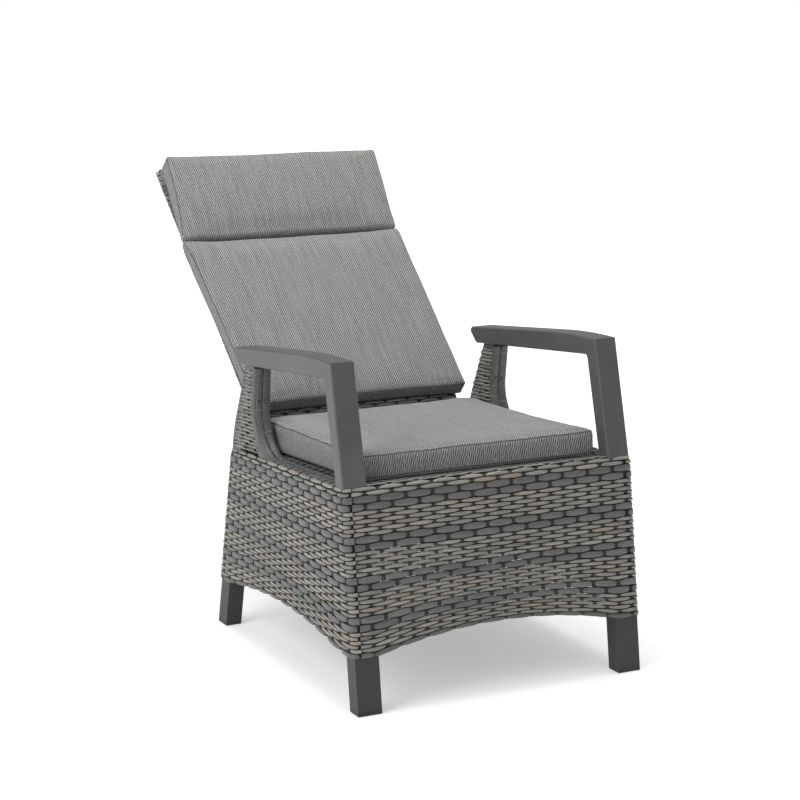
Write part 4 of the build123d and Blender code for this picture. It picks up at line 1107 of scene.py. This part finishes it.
def makeCushion(name, spec, toPlace, node, body):
    piece = cushionForm(name, spec)
    vertices = piece.data.vertices
    finder = kdtree.KDTree(len(vertices))
    for v in vertices:
        finder.insert(v.co, v.index)
    finder.balance()
    seams = [seamLine(spec, up) for up in (True, False)]
    seamVerts = [[finder.find_n(p, 3) for p in seam] for seam in seams]
    inflate(piece, spec)
    vertices = piece.data.vertices
    for v in vertices:
        share = min(max(v.co.z / (spec["height"] * mm), 0), 1)
        spot = v.co / (cushions["wavePitch"] * mm) + Vector((0, 0, spec["seed"]))
        v.co.z += noise.noise(spot) * cushions["wave"] * mm * share
    pullSeam(vertices, finder, seams[0], spec["height"])
    moved = [v.co.copy() for v in vertices]
    subdivision = piece.modifiers.new("smooth", "SUBSURF")
    subdivision.levels = subdivision.render_levels = 1
    applyModifiers(piece)
    mesh = piece.data
    layCloth(mesh)
    centre = (spec["low"] + spec["high"]) / 2

    def toRow(co):
        return toPlace(co.x / mm, centre + co.y / mm, spec["gap"] + co.z / mm)

    for v in mesh.vertices:
        v.co = toRow(v.co)
    mesh.materials.append(cushionFinish)
    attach(piece, body)
    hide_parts(node)
    closed = not (spec["rollLow"] or spec["rollHigh"])
    for number, near in enumerate(seamVerts):
        points = [sum((moved[i] for co, i, distance in found), Vector()) / len(found)
                  for found in near]
        even = [toRow(p) for p in evenOut(points, closed)]
        seamTube(name + "Seam%d" % number, even, closed, body)
    print(name, len(mesh.polygons), "faces")


makeCushion("seatCushion", seatCushion, onSeat, "seat_cushion", "base")
makeCushion("backCushion", backCushion, onBackFace, "back_cushion", "backrest")
makeCushion("headCushion", headCushion, onBackFace, "back_cushion", "backrest")

strap = {"middle": 525, "width": 42, "thick": 1.2, "out": 1.6, "corner": 6, "cornerSteps": 5,
         "rows": 6}


def makeStrap():
    # a closed strip, laid round the back from a flat grid
    bm = bmesh.new()
    half, thick = backHalf(strap["middle"]) + strap["out"], back["thick"] / 2 + strap["out"]
    outline = roundedOutline(half, thick, strap["corner"], strap["corner"], strap["cornerSteps"])
    around, rowCount = len(outline), strap["rows"]
    made = bmesh.ops.create_grid(bm, x_segments=around, y_segments=rowCount, size=0.5)
    cloth = bm.loops.layers.uv.new("cloth")
    marks = [0]
    for one, two in zip(outline, outline[1:] + outline[:1]):
        marks.append(marks[-1] + math.hypot(two[0] - one[0], two[1] - one[1]))
    spots = {vert: (round((vert.co.x + 0.5) * around), round((vert.co.y + 0.5) * rowCount))
             for vert in made["verts"]}
    for face in bm.faces:
        for loop in face.loops:
            i, k = spots[loop.vert]
            loop[cloth].uv = (marks[i] * mm, k / rowCount * strap["width"] * mm)
        face.smooth = True
    for vert, (i, k) in spots.items():
        x, w = outline[i % around]
        vert.co = onBack(x, strap["middle"] + (k / rowCount - 0.5) * strap["width"], w)
    bmesh.ops.remove_doubles(bm, verts=bm.verts, dist=1e-6)
    bmesh.ops.recalc_face_normals(bm, faces=bm.faces)
    piece = newPiece("backStrap", bm)
    solid = piece.modifiers.new("thickness", "SOLIDIFY")
    solid.thickness, solid.offset = strap["thick"] * mm, -1
    applyModifiers(piece)
    piece.data.materials.append(strapFinish)
    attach(piece, "backrest")
    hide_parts("back_strap")
    print("backStrap", len(piece.data.polygons), "faces")


makeStrap()

floorMesh = bmesh.new()
bmesh.ops.create_grid(floorMesh, x_segments=1, y_segments=1, size=12)
floor = newPiece("floor", floorMesh)
# White paper sweep: matt, and it glows to white away from the chair, but keeps the shadow near it
floorFinish = newMaterial("whiteSweep")
rays = addNode(floorFinish, "LightPath")
seen = addNode(floorFinish, "Math", {"operation": "MAXIMUM"},
               {0: rays.outputs["Is Camera Ray"], 1: rays.outputs["Is Glossy Ray"]})
floorSpot = addNode(floorFinish, "TexCoord").outputs["Object"]
away = addNode(floorFinish, "VectorMath", {"operation": "LENGTH"}, {0: floorSpot}).outputs["Value"]
fade = addNode(floorFinish, "MapRange",
               {"From Min": 0.9, "From Max": 3.5, "To Min": 0.4, "To Max": 0.85}, {"Value": away})
glow = addNode(floorFinish, "Math", {"operation": "MULTIPLY"}, {0: seen, 1: fade})
setShader(floorFinish, {"Base Color": rgb("#f4f4f4"), "Roughness": 0.9, "Specular IOR Level": 0.1,
                        "Emission Color": (1, 1, 1, 1)}, {"Emission Strength": glow})
floor.data.materials.append(floorFinish)
print("floor done")

camera = {"place": (-2088.7, -4052.9, 1453.0), "yaw": 26.865, "pitch": 11.559, "lens": 101.0}
eye = bpy.data.cameras.new("camera")
eye.lens, eye.sensor_width, eye.clip_end = camera["lens"], 36, 50
eyeObject = newObject("camera", eye)
eyeObject.location = place(*camera["place"])
eyeObject.rotation_euler = (math.radians(90 - camera["pitch"]), 0, -math.radians(camera["yaw"]))
bpy.context.scene.camera = eyeObject

studio = {
    "world": 0.42, "aim": (0, 0, 0.45),
    # name, place and size in metres, and power in watts
    "lamps": [("key", (-3.4, -1.3, 2.6), 2.4, 80), ("fill", (2.4, -3.2, 1.8), 2.6, 5),
              ("top", (0.2, 0.4, 3.6), 2.4, 68)],
}
world = bpy.data.worlds.new("studio")
bpy.context.scene.world = world
world.use_nodes = True
# the camera sees white, and the chair is lit by a weaker sky
skyRays = addNode(world, "LightPath")
skyMix = addNode(world, "MapRange", {"To Min": studio["world"], "To Max": 1.0},
                 {"Value": skyRays.outputs["Is Camera Ray"]})
setNode(world, world.node_tree.nodes["Background"], {"Color": (1, 1, 1, 1)},
        {"Strength": skyMix})
for name, spot, size, power in studio["lamps"]:
    lamp = bpy.data.lights.new(name, "AREA")
    lamp.energy, lamp.size = power, size
    lampObject = newObject(name, lamp)
    lampObject.location = spot
    aim = Vector(studio["aim"]) - Vector(spot)
    lampObject.rotation_euler = aim.to_track_quat("-Z", "Y").to_euler()
print("camera and lamps done")

bpy.context.scene.view_settings.view_transform = "Standard"
